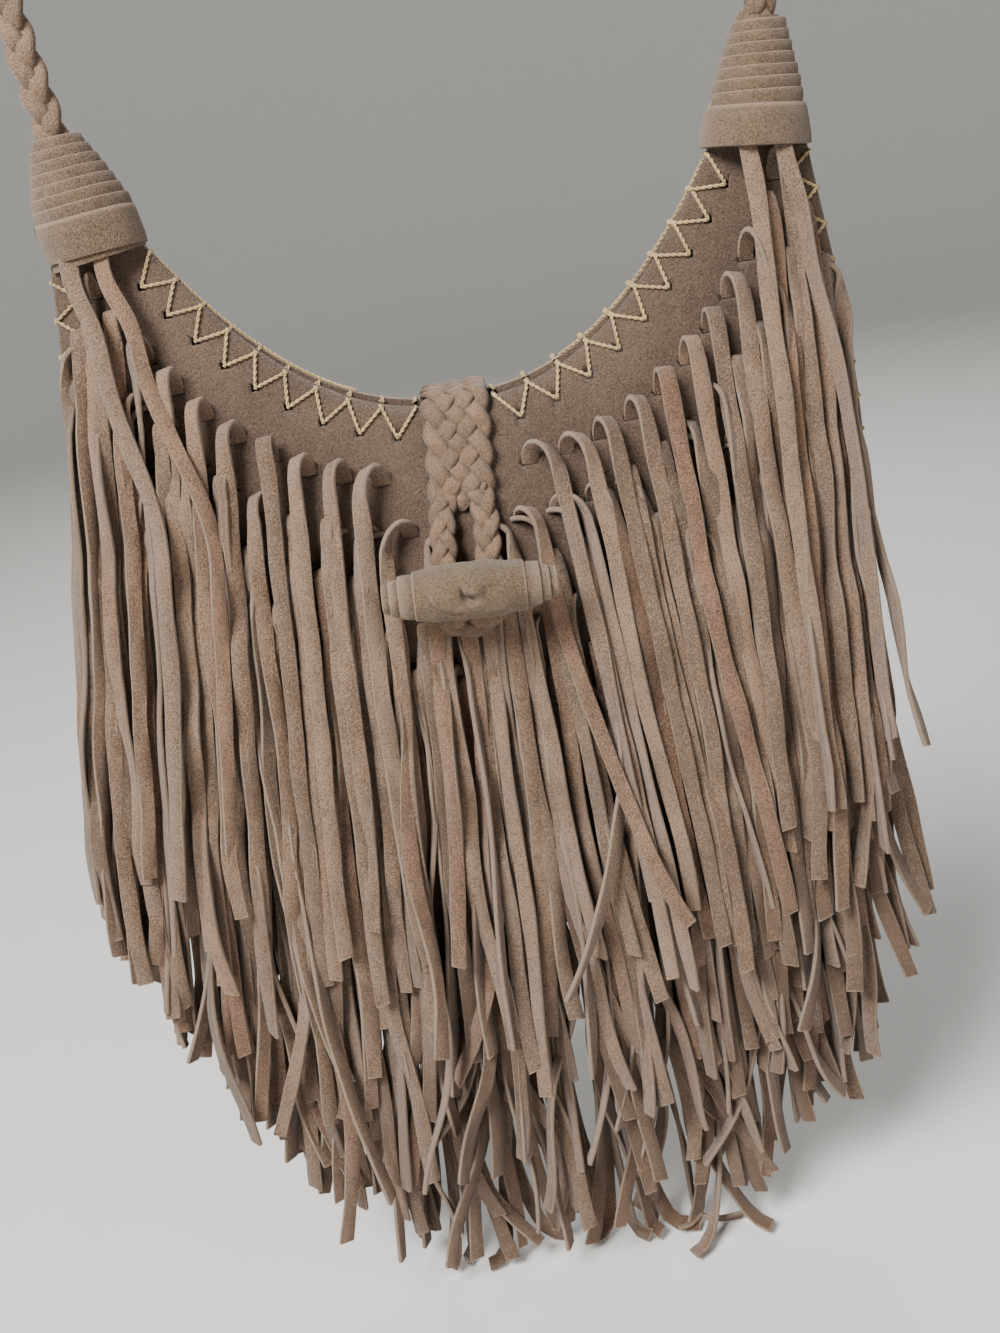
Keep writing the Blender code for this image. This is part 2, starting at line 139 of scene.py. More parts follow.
# Ends of the toggle's turns, from the outermost: (distance from its middle, radius)
TOGGLE_STEPS = ((0.0275, 0.0046), (0.0251, 0.0057), (0.0222, 0.0068), (0.0176, 0.0077))
TOGGLE_FULLNESS = 0.0016
TOGGLE_ROOM = 0.046
TOGGLE_ROOM_FRONT = -0.0284

# Rows of slits
ROW_TOP = -0.083
ROW_PITCH = 0.01675
ROW_COUNT = 9
ROW_SPAN = 0.113
ROW_POWER = 2.95
LAST_ROW_RISE = 0.030
SLIT_PITCH = 0.0118
SLIT_LENGTH = 0.0056
SLIT_HEIGHT = 0.0012
OPEN_ROWS = 2
ROW_LIMITS = (0.109, 0.116, 0.121, 0.121, 0.121, 0.121, 0.119, 0.114, 0.106)
TIER_COUNT = 5
TIER_STANDOFF = 0.0019
TIER_PITCH = 0.0048
TIER_EASE = 0.016
DRAPE_HALF_WIDTH = 0.110
FIRST_ROW_GAP = (-0.0278, 0.0070)

# Fall of the laces
LACE_STEP = 0.0055
HEM_RISE = 0.185
HEM_SPAN = 0.155
HEM_POWER = 2.6
FLOOR_EASE = 0.012

# Laces from under the cones: (distance from the middle, drift outwards, length)
CONE_LACES = {
    -1.0: ((0.1010, -0.0200, 0.176), (0.1110, -0.0160, 0.186)),
    1.0: ((0.0985, 0.0000, 0.190), (0.1090, 0.0080, 0.170)),
}

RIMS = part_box("strap")[1].z - STRAP_WIDTH / 2 - STRAP_TOP_HEIGHT
FLOOR = CAD_BOX[0].z - RIMS
FLOOR_GAP = 0.0004
CAMERA_PLACE = (-0.003, -0.451, RIMS + 0.0087)
CAMERA_PITCH = math.radians(20.0)
CAMERA_ROLL = math.radians(10.0)
CAMERA_LENS = 36.94
CAMERA_SENSOR = 36.0
TOGGLE_LOW, TOGGLE_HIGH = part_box("toggle")
TOGGLE_CENTRE = (TOGGLE_LOW + TOGGLE_HIGH) / 2 - Z * RIMS
TOGGLE_BACK = TOGGLE_HIGH.y

# Sections that are carried along a route: (across, out, cut edge), as shares of half the size; a
# cut edge number below zero is painted shade instead, darkening a strand's sides and underside
# where the crevices between braid strands are
LACE_SECTION = (
    (-0.88, 1.0, 0.0), (0.0, 1.0, 0.0), (0.88, 1.0, 0.0), (1.0, 0.55, 1.0), (1.0, -0.55, 1.0),
    (0.88, -1.0, 0.0), (0.0, -1.0, 0.0), (-0.88, -1.0, 0.0), (-1.0, -0.55, 1.0), (-1.0, 0.55, 1.0),
)
WRAP_SECTION = (
    (-1.0, 0.5, 0.0), (-0.5, 0.9, 0.0), (0.2, 1.0, 0.0), (0.70, 1.0, 0.1), (0.90, 0.72, 1.0),
    (1.0, 0.1, 1.0), (0.96, -0.6, 0.8), (0.7, -1.0, 0.0), (-1.0, -1.0, 0.0),
)
# Braid strand: the negative numbers in its last column are painted shade for the crevices between
# strands.
STRAND_SECTION = (
    (-0.80, 0.74, -0.35), (-0.45, 0.98, 0.0), (0.0, 1.0, 0.0), (0.45, 0.98, 0.0),
    (0.80, 0.74, -0.35), (1.0, 0.0, -1.0), (0.94, -0.5, -1.0), (0.5, -1.0, -1.0),
    (-0.5, -1.0, -1.0), (-0.94, -0.5, -1.0), (-1.0, 0.0, -1.0),
)


class Station(NamedTuple):
    """One place on a route: its middle, its two directions and its half sizes."""

    middle: Vector
    across: Vector
    out: Vector
    half_width: float
    half_thickness: float


# Numbers


def clamp(value, low=0.0, high=1.0):
    """Keep a value between two limits."""
    return max(low, min(high, value))


def smooth(value):
    """Ease from 0 to 1 with level ends."""
    value = clamp(value)
    return value * value * (3.0 - 2.0 * value)


def between(first, second, share):
    """The number or point at a share of the way from first to second."""
    return first + (second - first) * share


# Shape of the pouch


def neckline(x):
    """Height of the mouth's edge."""
    return -NECK_DEPTH * (1.0 - abs(x / NECK_HALF_WIDTH) ** NECK_POWER)


def belly(x):
    """Height of the bottom seam."""
    share = clamp(abs(x) / BODY_HALF_WIDTH)
    return BELLY_HEIGHT - BELLY_DROP * (1.0 - share ** BELLY_POWER) ** (1.0 / BELLY_POWER)


def half_width(z):
    """Half the width between the side seams at a height."""
    if z > BELLY_HEIGHT:
        share = z / BELLY_HEIGHT
        return between(SHOULDER_HALF_WIDTH, BODY_HALF_WIDTH, smooth(share) ** 0.6)
    share = clamp((BELLY_HEIGHT - z) / BELLY_DROP)
    return BODY_HALF_WIDTH * (1.0 - share ** BELLY_POWER) ** (1.0 / BELLY_POWER)


def fullness(x, z, bulge):
    """Distance from the middle plane to the inner face of a panel."""
    top = neckline(x) if abs(x) < NECK_HALF_WIDTH else 0.0
    down = clamp((top - z) / max(top - belly(x), 1e-6))
    across = 1.0 - clamp(abs(x) / max(half_width(z), 1e-6)) ** 4
    mouth = LIP * (1.0 - down) * (1.0 - clamp(abs(x) / NECK_HALF_WIDTH) ** 2)
    return across * (mouth + bulge * math.sin(math.pi * down ** 0.8))


def seam(share):
    """Point on the side and bottom seam, from the bottom (0) up to the cone (1)."""
    side = 1.0 - SIDE_SHARE
    if share < side:
        angle = share / side * math.pi / 2
        x = BODY_HALF_WIDTH * math.sin(angle) ** (2.0 / BELLY_POWER)
        z = BELLY_HEIGHT - BELLY_DROP * max(math.cos(angle), 0.0) ** (2.0 / BELLY_POWER)
        return x, z
    z = BELLY_HEIGHT * (1.0 - (share - side) / SIDE_SHARE)
    return half_width(z), z


def panel_outline(across, down):
    """Point of the crescent: across runs along the mouth, down from the mouth to the seam."""
    share = min(abs(across), 1.0)
    tuck = (abs(across) - share) / 0.1
    neck_x = NECK_HALF_WIDTH * share + ARM_PINCH * tuck
    neck_z = neckline(NECK_HALF_WIDTH * share) + ARM_TUCK * tuck
    seam_x, seam_z = seam(share)
    x = between(neck_x, seam_x - ARM_PINCH * tuck, down)
    z = between(neck_z, seam_z + ARM_TUCK * tuck, down)
    return math.copysign(x, across), z


def outer_face(x, z, bulge, distance=0.0):
    """Distance from the middle plane to a panel's outer face, or to a distance outside it."""
    step = FINE_STEP
    here = fullness(x, z, bulge)
    slope_z = (fullness(x, z - step, bulge) - here) / step
    slope_x = (fullness(abs(x) + step, z, bulge) - here) / step
    slant = math.sqrt(1.0 + slope_z ** 2 + slope_x ** 2)
    return here + SEAM_GAP + SUEDE / 2 + (SUEDE / 2 + distance) * slant


def row_height(row, x):
    """Height of a row of slits: the first follows the neckline, the last is nearly level."""
    centre = ROW_TOP - ROW_PITCH * row
    share = row / (ROW_COUNT - 1)
    rise = -ROW_TOP * (1.0 - share) ** 1.2 + LAST_ROW_RISE * share
    return centre + rise * (abs(x) / ROW_SPAN) ** ROW_POWER


def slit_places(row):
    """X of each slit of a row, an equal pitch apart along the row's curve."""
    places = []
    travelled = SLIT_PITCH / 2 if row % 2 == 0 else 0.0
    x = 0.0
    while x < ROW_LIMITS[row]:
        if travelled >= SLIT_PITCH or (not places and row % 2 == 1):
            places.append(x)
            travelled = 0.0
        drop = row_height(row, x + FINE_STEP) - row_height(row, x)
        travelled += math.hypot(FINE_STEP, drop)
        x += FINE_STEP
    mirrored = [-x for x in places if x > 0.001]
    return sorted(mirrored + places)


def hanging_depth(x, z, tier):
    """Y of the middle of a tier: clear of the panel above it and of the tiers inside it."""
    x = min(abs(x), DRAPE_HALF_WIDTH)
    top = row_height(2 * tier, x)
    outward = 0.0
    for step in range(9):
        level = between(top, z, step / 8)
        if level > belly(x):
            outward = max(outward, outer_face(x, level, FRONT_BULGE, TIER_STANDOFF))
    layers = 0.0
    for lower in range(tier + 1, TIER_COUNT):
        start = row_height(2 * lower, x) + TIER_EASE + 0.002
        layers += smooth((start - z) / TIER_EASE)
    return -(outward + TIER_PITCH * layers)


# Routes


def strap_route():
    """Centre line of the strap, from inside the left cone over the top to the right one."""
    lean = Vector((math.sin(CONE_LEAN), 0.0, math.cos(CONE_LEAN)))
    foot = X * CONE_X
    leave = foot + lean * CONE_LENGTH
    points = [foot + lean * (CONE_LENGTH - STRAP_INSERT), leave]
    for index in range(1, 9):
        share = index / 8
        x = STRAP_HALF_SPAN - (STRAP_HALF_SPAN - leave.x) * (1.0 - share) ** 2
        points.append(Vector((x, 0.0, between(leave.z, STRAP_SPRING_HEIGHT, share))))
    rise = STRAP_TOP_HEIGHT - STRAP_SPRING_HEIGHT
    for index in range(1, 41):
        angle = index / 40 * math.pi / 2
        x = STRAP_HALF_SPAN * max(math.cos(angle), 0.0) ** (2.0 / STRAP_POWER)
        z = STRAP_SPRING_HEIGHT + rise * math.sin(angle) ** (2.0 / STRAP_POWER)
        points.append(Vector((x, 0.0, z)))
    left = [Vector((-point.x, 0.0, point.z)) for point in points[:-1]]
    return left + points[::-1]


def tab_middle(z):
    """X of the tab's centre line, which leans a little to the left as it falls."""
    return TAB_TOP_X + TAB_LEAN * (z + NECK_DEPTH)


def tab_depth(z):
    """Y of the tab's middle down the front: on the panel, then lifted over the laces."""
    x = tab_middle(z)
    on_panel = -outer_face(x, z, FRONT_BULGE, TAB_CLEARANCE + TAB_THICKNESS / 2)
    lift = smooth((LOOP_LIFT_START - z) / (LOOP_LIFT_START - LOOP_LIFT_END))
    return between(on_panel, -LOOP_STANDOFF, lift)


def tab_over_lip(bulge):
    """Quarter turn of the tab over one lip of the mouth: (distance from the middle, height)."""
    lip = outer_face(0.0, -NECK_DEPTH, bulge)
    radius = TAB_THICKNESS / 2 + TAB_TOP_RISE
    angles = [index / 3 * math.pi / 2 for index in range(4)]
    return [(lip + radius * math.cos(a), -NECK_DEPTH + radius * math.sin(a)) for a in angles]


def tab_route():
    """Centre line of the six-strand braid, from its foot on the back to where it splits."""
    route = []
    for index in range(6):
        z = -NECK_DEPTH - TAB_BACK_DROP * (1.0 - index / 6)
        depth = outer_face(0.0, z, BACK_BULGE, TAB_CLEARANCE + TAB_THICKNESS / 2)
        route.append(Vector((TAB_TOP_X, depth, z)))
    for depth, z in tab_over_lip(BACK_BULGE):
        route.append(Vector((TAB_TOP_X, depth, z)))
    for depth, z in tab_over_lip(FRONT_BULGE)[::-1]:
        route.append(Vector((TAB_TOP_X, -depth, z)))
    for index in range(1, 13):
        z = between(-NECK_DEPTH, LOOP_SPLIT - 0.003, index / 12)
        tucked = LOOP_TUCK * smooth((LOOP_SPLIT + 0.003 - z) / 0.005)
        route.append(Vector((tab_middle(z), tab_depth(z) + tucked, z)))
    return route


def loop_route():
    """Centre line of the three-strand loop: down the left arm, round, and up the right arm."""
    route = []
    for index in range(15):
        z = between(LOOP_SPLIT + 0.006, LOOP_TURN, index / 14)
        spread = LOOP_ARM * between(0.72, 1.0, smooth((LOOP_SPLIT + 0.004 - z) / 0.010))
        spread = between(spread, LOOP_WIDE, smooth((LOOP_TURN + 0.014 - z) / 0.012))
        tucked = LOOP_TUCK * (1.0 - smooth((LOOP_SPLIT + 0.006 - z) / 0.005))
        route.append(Vector((tab_middle(z) - spread, tab_depth(z) + tucked, z)))
    for index in range(1, 12):
        angle = index / 12 * math.pi
        z = LOOP_TURN - LOOP_ARM * math.sin(angle)
        x = tab_middle(z) - LOOP_WIDE * math.cos(angle)
        route.append(Vector((x, tab_depth(z), z)))
    right = []
    for point in route[:15]:
        right.append(Vector((2 * tab_middle(point.z) - point.x, point.y, point.z)))
    return route + right[::-1]


def even_steps(route, step):
    """The same route with its points an equal step apart."""
    total = sum((b - a).length for a, b in zip(route, route[1:]))
    count = max(2, round(total / step))
    points = [route[0].copy()]
    target = total / count
    walked = 0.0
    for start, end in zip(route, route[1:]):
        length = (end - start).length
        while length > 0 and walked + length >= target * len(points) and len(points) < count:
            share = (target * len(points) - walked) / length
            points.append(between(start, end, share))
        walked += length
    points.append(route[-1].copy())
    return points


def softened(points, rounds):
    """A route with its corners eased, its ends kept."""
    for _ in range(rounds):
        eased = [points[0]]
        for before, here, after in zip(points, points[1:], points[2:]):
            eased.append(here / 2 + (before + after) / 4)
        points = eased + [points[-1]]
    return points


def headings(points):
    """Unit direction of travel at each point of a route."""
    before = points[:1] + points[:-1]
    after = points[1:] + points[-1:]
    return [(end - start).normalized() for start, end in zip(before, after)]


# Building pieces


def new_shape():
    """An empty mesh with the numbers that the suede materials read on each point."""
    bm = bmesh.new()
    for layer in ("edge", "tint_and_shade", "warmth"):
        bm.verts.layers.float.new(layer)
    return bm


def sweep(bm, stations, section, tint_and_shade=0.0, warmth=0.0, skew=0.0):
    """Carry a closed section along stations, close its seam and cap both ends."""
    sides = len(section)
    last = len(stations) - 1
    layers = bm.verts.layers.float
    made = bmesh.ops.create_grid(bm, x_segments=sides, y_segments=last, size=1.0)["verts"]
    for vert in made:
        across, out, edge = section[round((vert.co.x + 1.0) / 2 * sides) % sides]
        row = round((vert.co.y + 1.0) / 2 * last)
        station = stations[row]
        side = station.across * across * station.half_width
        vert.co = station.middle + side + station.out * out * station.half_thickness
        if row > last - 2:
            along = station.across.cross(station.out)
            vert.co += along * across * skew * station.half_width
        vert[layers["edge"]] = 1.0 if row == last else edge
        vert[layers["tint_and_shade"]] = tint_and_shade
        vert[layers["warmth"]] = warmth
    bmesh.ops.remove_doubles(bm, verts=made, dist=1e-7)
    rims = {edge for vert in made if vert.is_valid for edge in vert.link_edges if edge.is_boundary}
    bmesh.ops.holes_fill(bm, edges=list(rims), sides=0)


def turned(bm, profile, steps, axis):
    """Spin an open profile round an axis, closing it where it meets the axis."""
    verts = [bm.verts.new(point) for point in profile]
    edges = [bm.edges.new(pair) for pair in zip(verts, verts[1:])]
    bmesh.ops.spin(bm, geom=verts + edges, cent=(0, 0, 0), axis=axis, dvec=(0, 0, 0),
                   angle=2 * math.pi, steps=steps, use_merge=True)
    bmesh.ops.remove_doubles(bm, verts=bm.verts, dist=1e-7)


def placed(name, bm, materials, angle=50.0):
    """Move a finished shape to its place in the frame and make it an object."""
    bmesh.ops.translate(bm, vec=Z * RIMS, verts=bm.verts)
    bmesh.ops.recalc_face_normals(bm, faces=bm.faces)
    mesh = bpy.data.meshes.new(name)
    bm.to_mesh(mesh)
    bm.free()
    mesh.shade_smooth()
    mesh.set_sharp_from_angle(angle=math.radians(angle))
    for material in materials:
        mesh.materials.append(material)
    piece = bpy.data.objects.new(name, mesh)
    bpy.context.scene.collection.objects.link(piece)
    return piece


def belongs(piece, slot, *nodes, body="bag"):
    """Put a piece on its body and hide the solids that it stands for; its finish slot is not used.
    """
    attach(piece, body)
    if nodes:
        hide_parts(*nodes)


def tilted(bm, angle, place):
    """Lean a shape sideways about its own middle and move it to its place."""
    bmesh.ops.rotate(bm, cent=(0, 0, 0), matrix=Matrix.Rotation(angle, 3, "Y"), verts=bm.verts)
    bmesh.ops.translate(bm, vec=place, verts=bm.verts)


def settled(piece):
    """Make a piece's modifiers part of its mesh."""
    seen = bpy.context.evaluated_depsgraph_get()
    mesh = bpy.data.meshes.new_from_object(piece.evaluated_get(seen))
    piece.modifiers.clear()
    piece.data = mesh


# Materials


class Value:
    """One number that varies over a surface; arithmetic on it adds Math nodes."""

    def __init__(self, surface, socket):
        self.surface = surface
        self.socket = socket

    def maths(self, operation, first, second):
        """The result of a Math node."""
        return self.surface.node("ShaderNodeMath", {"operation": operation}, {0: first, 1: second})

    def __add__(self, other):
        return self.maths("ADD", self, other)

    def __sub__(self, other):
        return self.maths("SUBTRACT", self, other)

    def __mul__(self, other):
        return self.maths("MULTIPLY", self, other)

    def limited(self):
        """The same number kept between 0 and 1."""
        return self.surface.node("ShaderNodeClamp", {}, {0: self})


class Surface:
    """A material that is being put together."""

    def __init__(self, name, finish):
        self.material = bpy.data.materials.new(name)
        self.material.use_nodes = True
        self.tree = self.material.node_tree
        self.shader = self.tree.nodes["Principled BSDF"]
        for key, value in finish.items():
            self.feed(self.shader.inputs[key], value)

    def feed(self, socket, value):
        """Link a varying number or colour to a socket, or set the socket to a plain one."""
        if isinstance(value, Value):
            self.tree.links.new(value.socket, socket)
        elif socket.type == "RGBA":
            socket.default_value = (*value[:3], 1.0)
        else:
            socket.default_value = value

    def node(self, kind, settings, inputs, output=0):
        """Add a node, with its settings first and then its sockets."""
        made = self.tree.nodes.new(kind)
        for key, value in settings.items():
            setattr(made, key, value)
        for key, value in inputs.items():
            self.feed(made.inputs[key], value)
        return Value(self, made.outputs[output])

    def noise(self, scale, detail=2.0, distortion=0.0):
        """Soft noise on the object's own coordinates, with features of 1/scale metres."""
        place = self.node("ShaderNodeTexCoord", {}, {}, "Object")
        sizes = {"Vector": place, "Scale": scale, "Detail": detail, "Distortion": distortion}
        return self.node("ShaderNodeTexNoise", {}, sizes)

    def painted(self, layer):
        """A number stored on the piece's points."""
        return self.node("ShaderNodeAttribute", {"attribute_name": layer}, {}, "Fac")

    def mix(self, share, first, second, blend="MIX"):
        """A colour between two colours, or between the first and their product."""
        settings = {"data_type": "RGBA", "blend_type": blend}
        return self.node("ShaderNodeMix", settings, {0: share, 6: first, 7: second}, 2)

    def finish(self, colour, height, depth):
        """Send a colour and a bump height to the shader."""
        sizes = {"Strength": 1.0, "Distance": depth, "Height": height}
        self.feed(self.shader.inputs["Base Color"], colour)
        self.feed(self.shader.inputs["Normal"], self.node("ShaderNodeBump", {}, sizes))
        return self.material


def toned(colour, amount):
    """A colour made lighter or darker."""
    return tuple(clamp(part * amount) for part in colour)


def suede(name, colour, colours, share=1.0):
    """Brushed suede: speckled fibres, patches where the nap lies over, raw paler edges, and painted
    shade where a point's edge number is below zero.
    """
    nap = colours.nap * share
    surface = Surface(name, {"Roughness": 0.95, "Specular IOR Level": 0.15, "Sheen Weight": 0.22,
                             "Sheen Roughness": 0.45})
    fibres = surface.noise(3000.0, 2.0)
    speckle = surface.noise(1500.0, 3.0)
    patches = surface.noise(110.0, 4.0, 0.8)
    broad = surface.noise(18.0, 2.0)
    # Lightness offset stored on each point: random tone, and on the laces also painted shade that
    # darkens the lower rows.
    tint_and_shade = surface.painted("tint_and_shade")
    warmth = surface.painted("warmth")
    edge = surface.painted("edge")
    tone = (fibres - 0.5) * (3.0 * nap) + (speckle - 0.5) * (2.4 * nap)
    tone = tone + (patches - 0.5) * (0.8 * nap) + (broad - 0.5) * 0.7 + tint_and_shade * 0.45
    base = surface.mix((tone + 0.5).limited(), toned(colour, 0.55), toned(colour, 1.42))
    base = surface.mix((warmth * 0.6).limited(), base, (1.0, 0.86, 0.80), "MULTIPLY")
    base = surface.mix((warmth * -0.6).limited(), base, (0.88, 0.92, 0.94), "MULTIPLY")
    frayed = (edge * (fibres * 1.6 + 0.2)).limited()
    base = surface.mix(frayed * 0.8, base, colours.raw_edge)
    # Painted shade: where the edge number is below zero, on the braid strands' sides and underside,
    # the colour is pulled towards 30 % of the suede colour, standing in for the shade in the
    # crevices between strands.
    base = surface.mix((edge * -0.8).limited(), base, toned(colour, 0.30))
    height = fibres * 0.5 + speckle * 0.8 + patches * 0.7 + edge * fibres
    return surface.finish(base, height, 0.0007 * nap)


def waxed_thread(name, colour):
    """Waxed thread, darker between its fibres."""
    surface = Surface(name, {"Roughness": 0.5, "Specular IOR Level": 0.4})
    fibres = surface.noise(3000.0, 2.0)
    worn = surface.noise(120.0, 3.0)
    tone = ((fibres - 0.5) * 0.9 + (worn - 0.5) * 1.1 + 0.5).limited()
    base = surface.mix(tone, toned(colour, 0.6), toned(colour, 1.2))
    return surface.finish(base, fibres, 0.0002)


def backdrop(name, colour):
    """Smooth painted studio floor."""
    surface = Surface(name, {"Roughness": 0.85, "Specular IOR Level": 0.2})
    grain = surface.noise(40.0, 4.0)
    base = surface.mix(grain, toned(colour, 0.98), toned(colour, 1.02))
    return surface.finish(base, grain, 0.0001)


# Pieces


def panel_shape(columns, rows, side, bulge):
    """A panel's sheet, gently uneven, one suede thickness deep once it is made solid."""
    bm = new_shape()
    bmesh.ops.create_grid(bm, x_segments=columns, y_segments=rows, size=1.0)
    for vert in bm.verts:
        reach = 1.1 * vert.co.x
        down = (1.0 - vert.co.y) / 2
        x, z = panel_outline(reach, down)
        depth = 0.0 if abs(reach) > 1.0 else fullness(x, z, bulge)
        inside = smooth(down * 5.0) * smooth((1.0 - down) * 5.0) * (1.0 - abs(vert.co.x) ** 6)
        ripple = noise.noise(Vector((x * 26.0, side * 3.0, z * 14.0))) * 0.0007 * inside
        vert.co = Vector((x, side * (depth + SEAM_GAP + SUEDE / 2 + ripple), z))
    if side > 0:
        bmesh.ops.reverse_faces(bm, faces=bm.faces)
    return bm


def punched(bm, places, size):
    """Add blocks for a slit or a stitch hole at each place on the front panel."""
    for x, z in places:
        block = bmesh.ops.create_cube(bm, size=1.0)["verts"]
        bmesh.ops.scale(bm, vec=size, verts=block)
        depth = -outer_face(x, z, FRONT_BULGE, -SUEDE / 2)
        bmesh.ops.translate(bm, vec=Vector((x, depth, z)), verts=block)


def mouth_stitches(trim):
    """(x, z, on the edge) of the zigzag's corners along the mouth, left and right of the tab."""
    edge = []
    for index in range(401):
        x = between(TAB_WIDTH / 2 + 0.0016, NECK_HALF_WIDTH, index / 400)
        edge.append(Vector((x, 0.0, neckline(x))))
    length = sum((b - a).length for a, b in zip(edge, edge[1:]))
    count = 2 * round(length / trim.stitch_pitch)
    corners = even_steps(edge, length / count)
    runs = ([], [])
    for index, (point, way) in enumerate(zip(corners, headings(corners))):
        on_edge = index % 2 == 0
        place = point + Y.cross(way) * (0.0 if on_edge else trim.stitch_depth)
        for run, sign in zip(runs, (-1.0, 1.0)):
            shift = TAB_TOP_X * (1.0 - index / count)
            run.append((sign * place.x + shift, place.z, on_edge))
    return runs


def side_stitches(trim):
    """(x, z, on the edge) of the zigzag's corners down each side seam."""
    runs = ([], [])
    on_edge = True
    z = -0.004
    while z > -0.150:
        reach = half_width(z) - (0.0 if on_edge else trim.stitch_depth * 0.9)
        for run, sign in zip(runs, (-1.0, 1.0)):
            run.append((sign * reach, z, on_edge))
        on_edge = not on_edge
        z -= trim.stitch_pitch / 2
    return runs


def hole_places(runs):
    """The inner ends of a zigzag, where the thread goes into the suede."""
    return [(x, z) for run in runs for x, z, on_edge in run if not on_edge]


def stitch_end(place, side, bulge, radius, over):
    """The end of a stitch: over the edge of the suede, or down into its hole."""
    x, z, on_edge = place
    face = outer_face(x * 0.999, z, bulge, radius)
    inside = face - (SUEDE + 2.2 * radius)
    if not on_edge:
        return [Vector((x, side * inside, z)), Vector((x, side * (face - 1.2 * radius), z))]
    top = over * 0.0012
    return [
        Vector((x, side * inside, z)) - top,
        Vector((x, side * (inside + radius), z)) + over * radius * 0.9,
        Vector((x, side * (face - radius), z)) + over * radius * 0.9,
        Vector((x, side * face, z)) - over * radius,
    ]


def stitch_route(start, end, side, bulge, radius):
    """One leg of a zigzag lying on the panel."""
    edge, hole = (start, end) if start[2] else (end, start)
    over = Vector((edge[0] - hole[0], 0.0, edge[1] - hole[1])).normalized()
    route = stitch_end(edge, side, bulge, radius, over)
    for index in range(1, 6):
        share = between(0.12, 0.94, (index - 1) / 4)
        x = between(edge[0], hole[0], share)
        z = between(edge[1], hole[1], share)
        route.append(Vector((x, side * outer_face(x, z, bulge, radius), z)))
    return route + stitch_end(hole, side, bulge, radius, over)[::-1]


def thread(bm, route, radius):
    """Two plies twisted round each other along a route."""
    points = even_steps(route, 0.00065)
    ways = headings(points)
    for ply in range(2):
        stations = []
        for index, (point, way) in enumerate(zip(points, ways)):
            side = way.orthogonal().normalized()
            turn = Matrix.Rotation(math.pi * ply + index * 1.05, 3, way)
            arm = turn @ side
            size = radius * 0.62
            stations.append(Station(point + arm * radius * 0.48, arm, way.cross(arm), size, size))
        ring = [(math.cos(a * math.pi / 3), math.sin(a * math.pi / 3), 0.0) for a in range(6)]
        sweep(bm, stations, ring)


def zigzag(bm, runs, side, bulge, radius):
    """All the legs of a zigzag."""
    for run in runs:
        for start, end in zip(run, run[1:]):
            thread(bm, stitch_route(start, end, side, bulge, radius), radius)


def mouth_cord(bm, radius):
    """The thread's long runs, which show between the two lips near each cone."""
    for sign in (-1.0, 1.0):
        route = []
        for index in range(25):
            x = between(0.034, NECK_HALF_WIDTH - 0.001, index / 24)
            lip = fullness(x, neckline(x), BACK_BULGE) + SEAM_GAP + SUEDE / 2
            route.append(Vector((sign * x, lip, neckline(x) + radius * 0.8)))
        thread(bm, route, radius)


def cone_place(sign, angle, height, radius):
    """Point on a cone that leans outward and is flatter front to back."""
    local = Vector((radius * math.cos(angle), radius * CONE_DEPTH_RATIO * math.sin(angle), height))
    lean = Matrix.Rotation(sign * CONE_LEAN, 3, "Y")
    return X * (sign * CONE_X) + lean @ local


def cone_radius(height, sign):
    """Radius of a cone's body at a height; the left one is fuller and drawn in at its rim."""
    share = clamp(height / CONE_LENGTH)
    radius = between(CONE_BASE_RADIUS, CONE_TOP_RADIUS, share) - 0.0008
    if sign > 0:
        return radius + 0.0004 * math.sin(share * math.pi)
    return radius + 0.0016 * math.sin(share * math.pi) - 0.0016 * (1.0 - smooth(share * 3.4))


def wound(bm, sign, start, turns, low, high, width, flare, tint_and_shade):
    """A strip wound round the cone from one height to another, its upper edge standing proud."""
    count = round(turns * 44)
    stations = []
    for index in range(count + 1):
        share = index / count
        angle = start + sign * share * turns * 2 * math.pi
        height = between(low, high, share ** 0.94)
        wobble = 0.0003 * noise.noise(Vector((angle * 0.7, low * 300, sign)))
        wobble -= 0.0016 * smooth((height - CONE_LENGTH * 0.84) / (CONE_LENGTH * 0.1))
        lower = cone_place(sign, angle, height, cone_radius(height, sign) + wobble)
        top = height + width
        proud = cone_radius(top, sign) + flare + wobble
        upper = cone_place(sign, angle, top, proud)
        rise = upper - lower
        axis = cone_place(sign, angle, height, 0.0)
        outward = (lower - axis).normalized()
        outward = (outward - rise.normalized() * outward.dot(rise.normalized())).normalized()
        middle = (upper + lower) / 2
        stations.append(Station(middle, rise.normalized(), outward, rise.length / 2, 0.0009))
    sweep(bm, stations, WRAP_SECTION, tint_and_shade=tint_and_shade)


def cone_shape(sign, turns):
    """A core, the wide band at the rim and the narrow turns above it."""
    bm = new_shape()
    profile = []
    for share in (0.02, 0.3, 0.6, 0.97):
        height = CONE_LENGTH * share
        profile.append(Vector((cone_radius(height, sign) - 0.0005, 0.0, height)))
    profile = [Vector((0, 0, profile[0].z))] + profile + [Vector((0, 0, profile[-1].z))]
    turned(bm, profile, 40, (0, 0, 1))
    bmesh.ops.scale(bm, vec=(1.0, CONE_DEPTH_RATIO, 1.0), verts=bm.verts)
    tilted(bm, sign * CONE_LEAN, X * (sign * CONE_X))
    pitch = (CONE_LENGTH - CONE_BAND) / turns
    slant = 0.0048 if sign < 0 else 0.0008
    wound(bm, sign, 2.4, 1.15, 0.0, slant, CONE_BAND + 0.0006, 0.0005, 0.1)
    wound(bm, sign, 3.4, turns, CONE_BAND - 0.0006, CONE_LENGTH - pitch * 1.1,
          pitch + 0.0006, 0.0007, -0.05)
    return bm


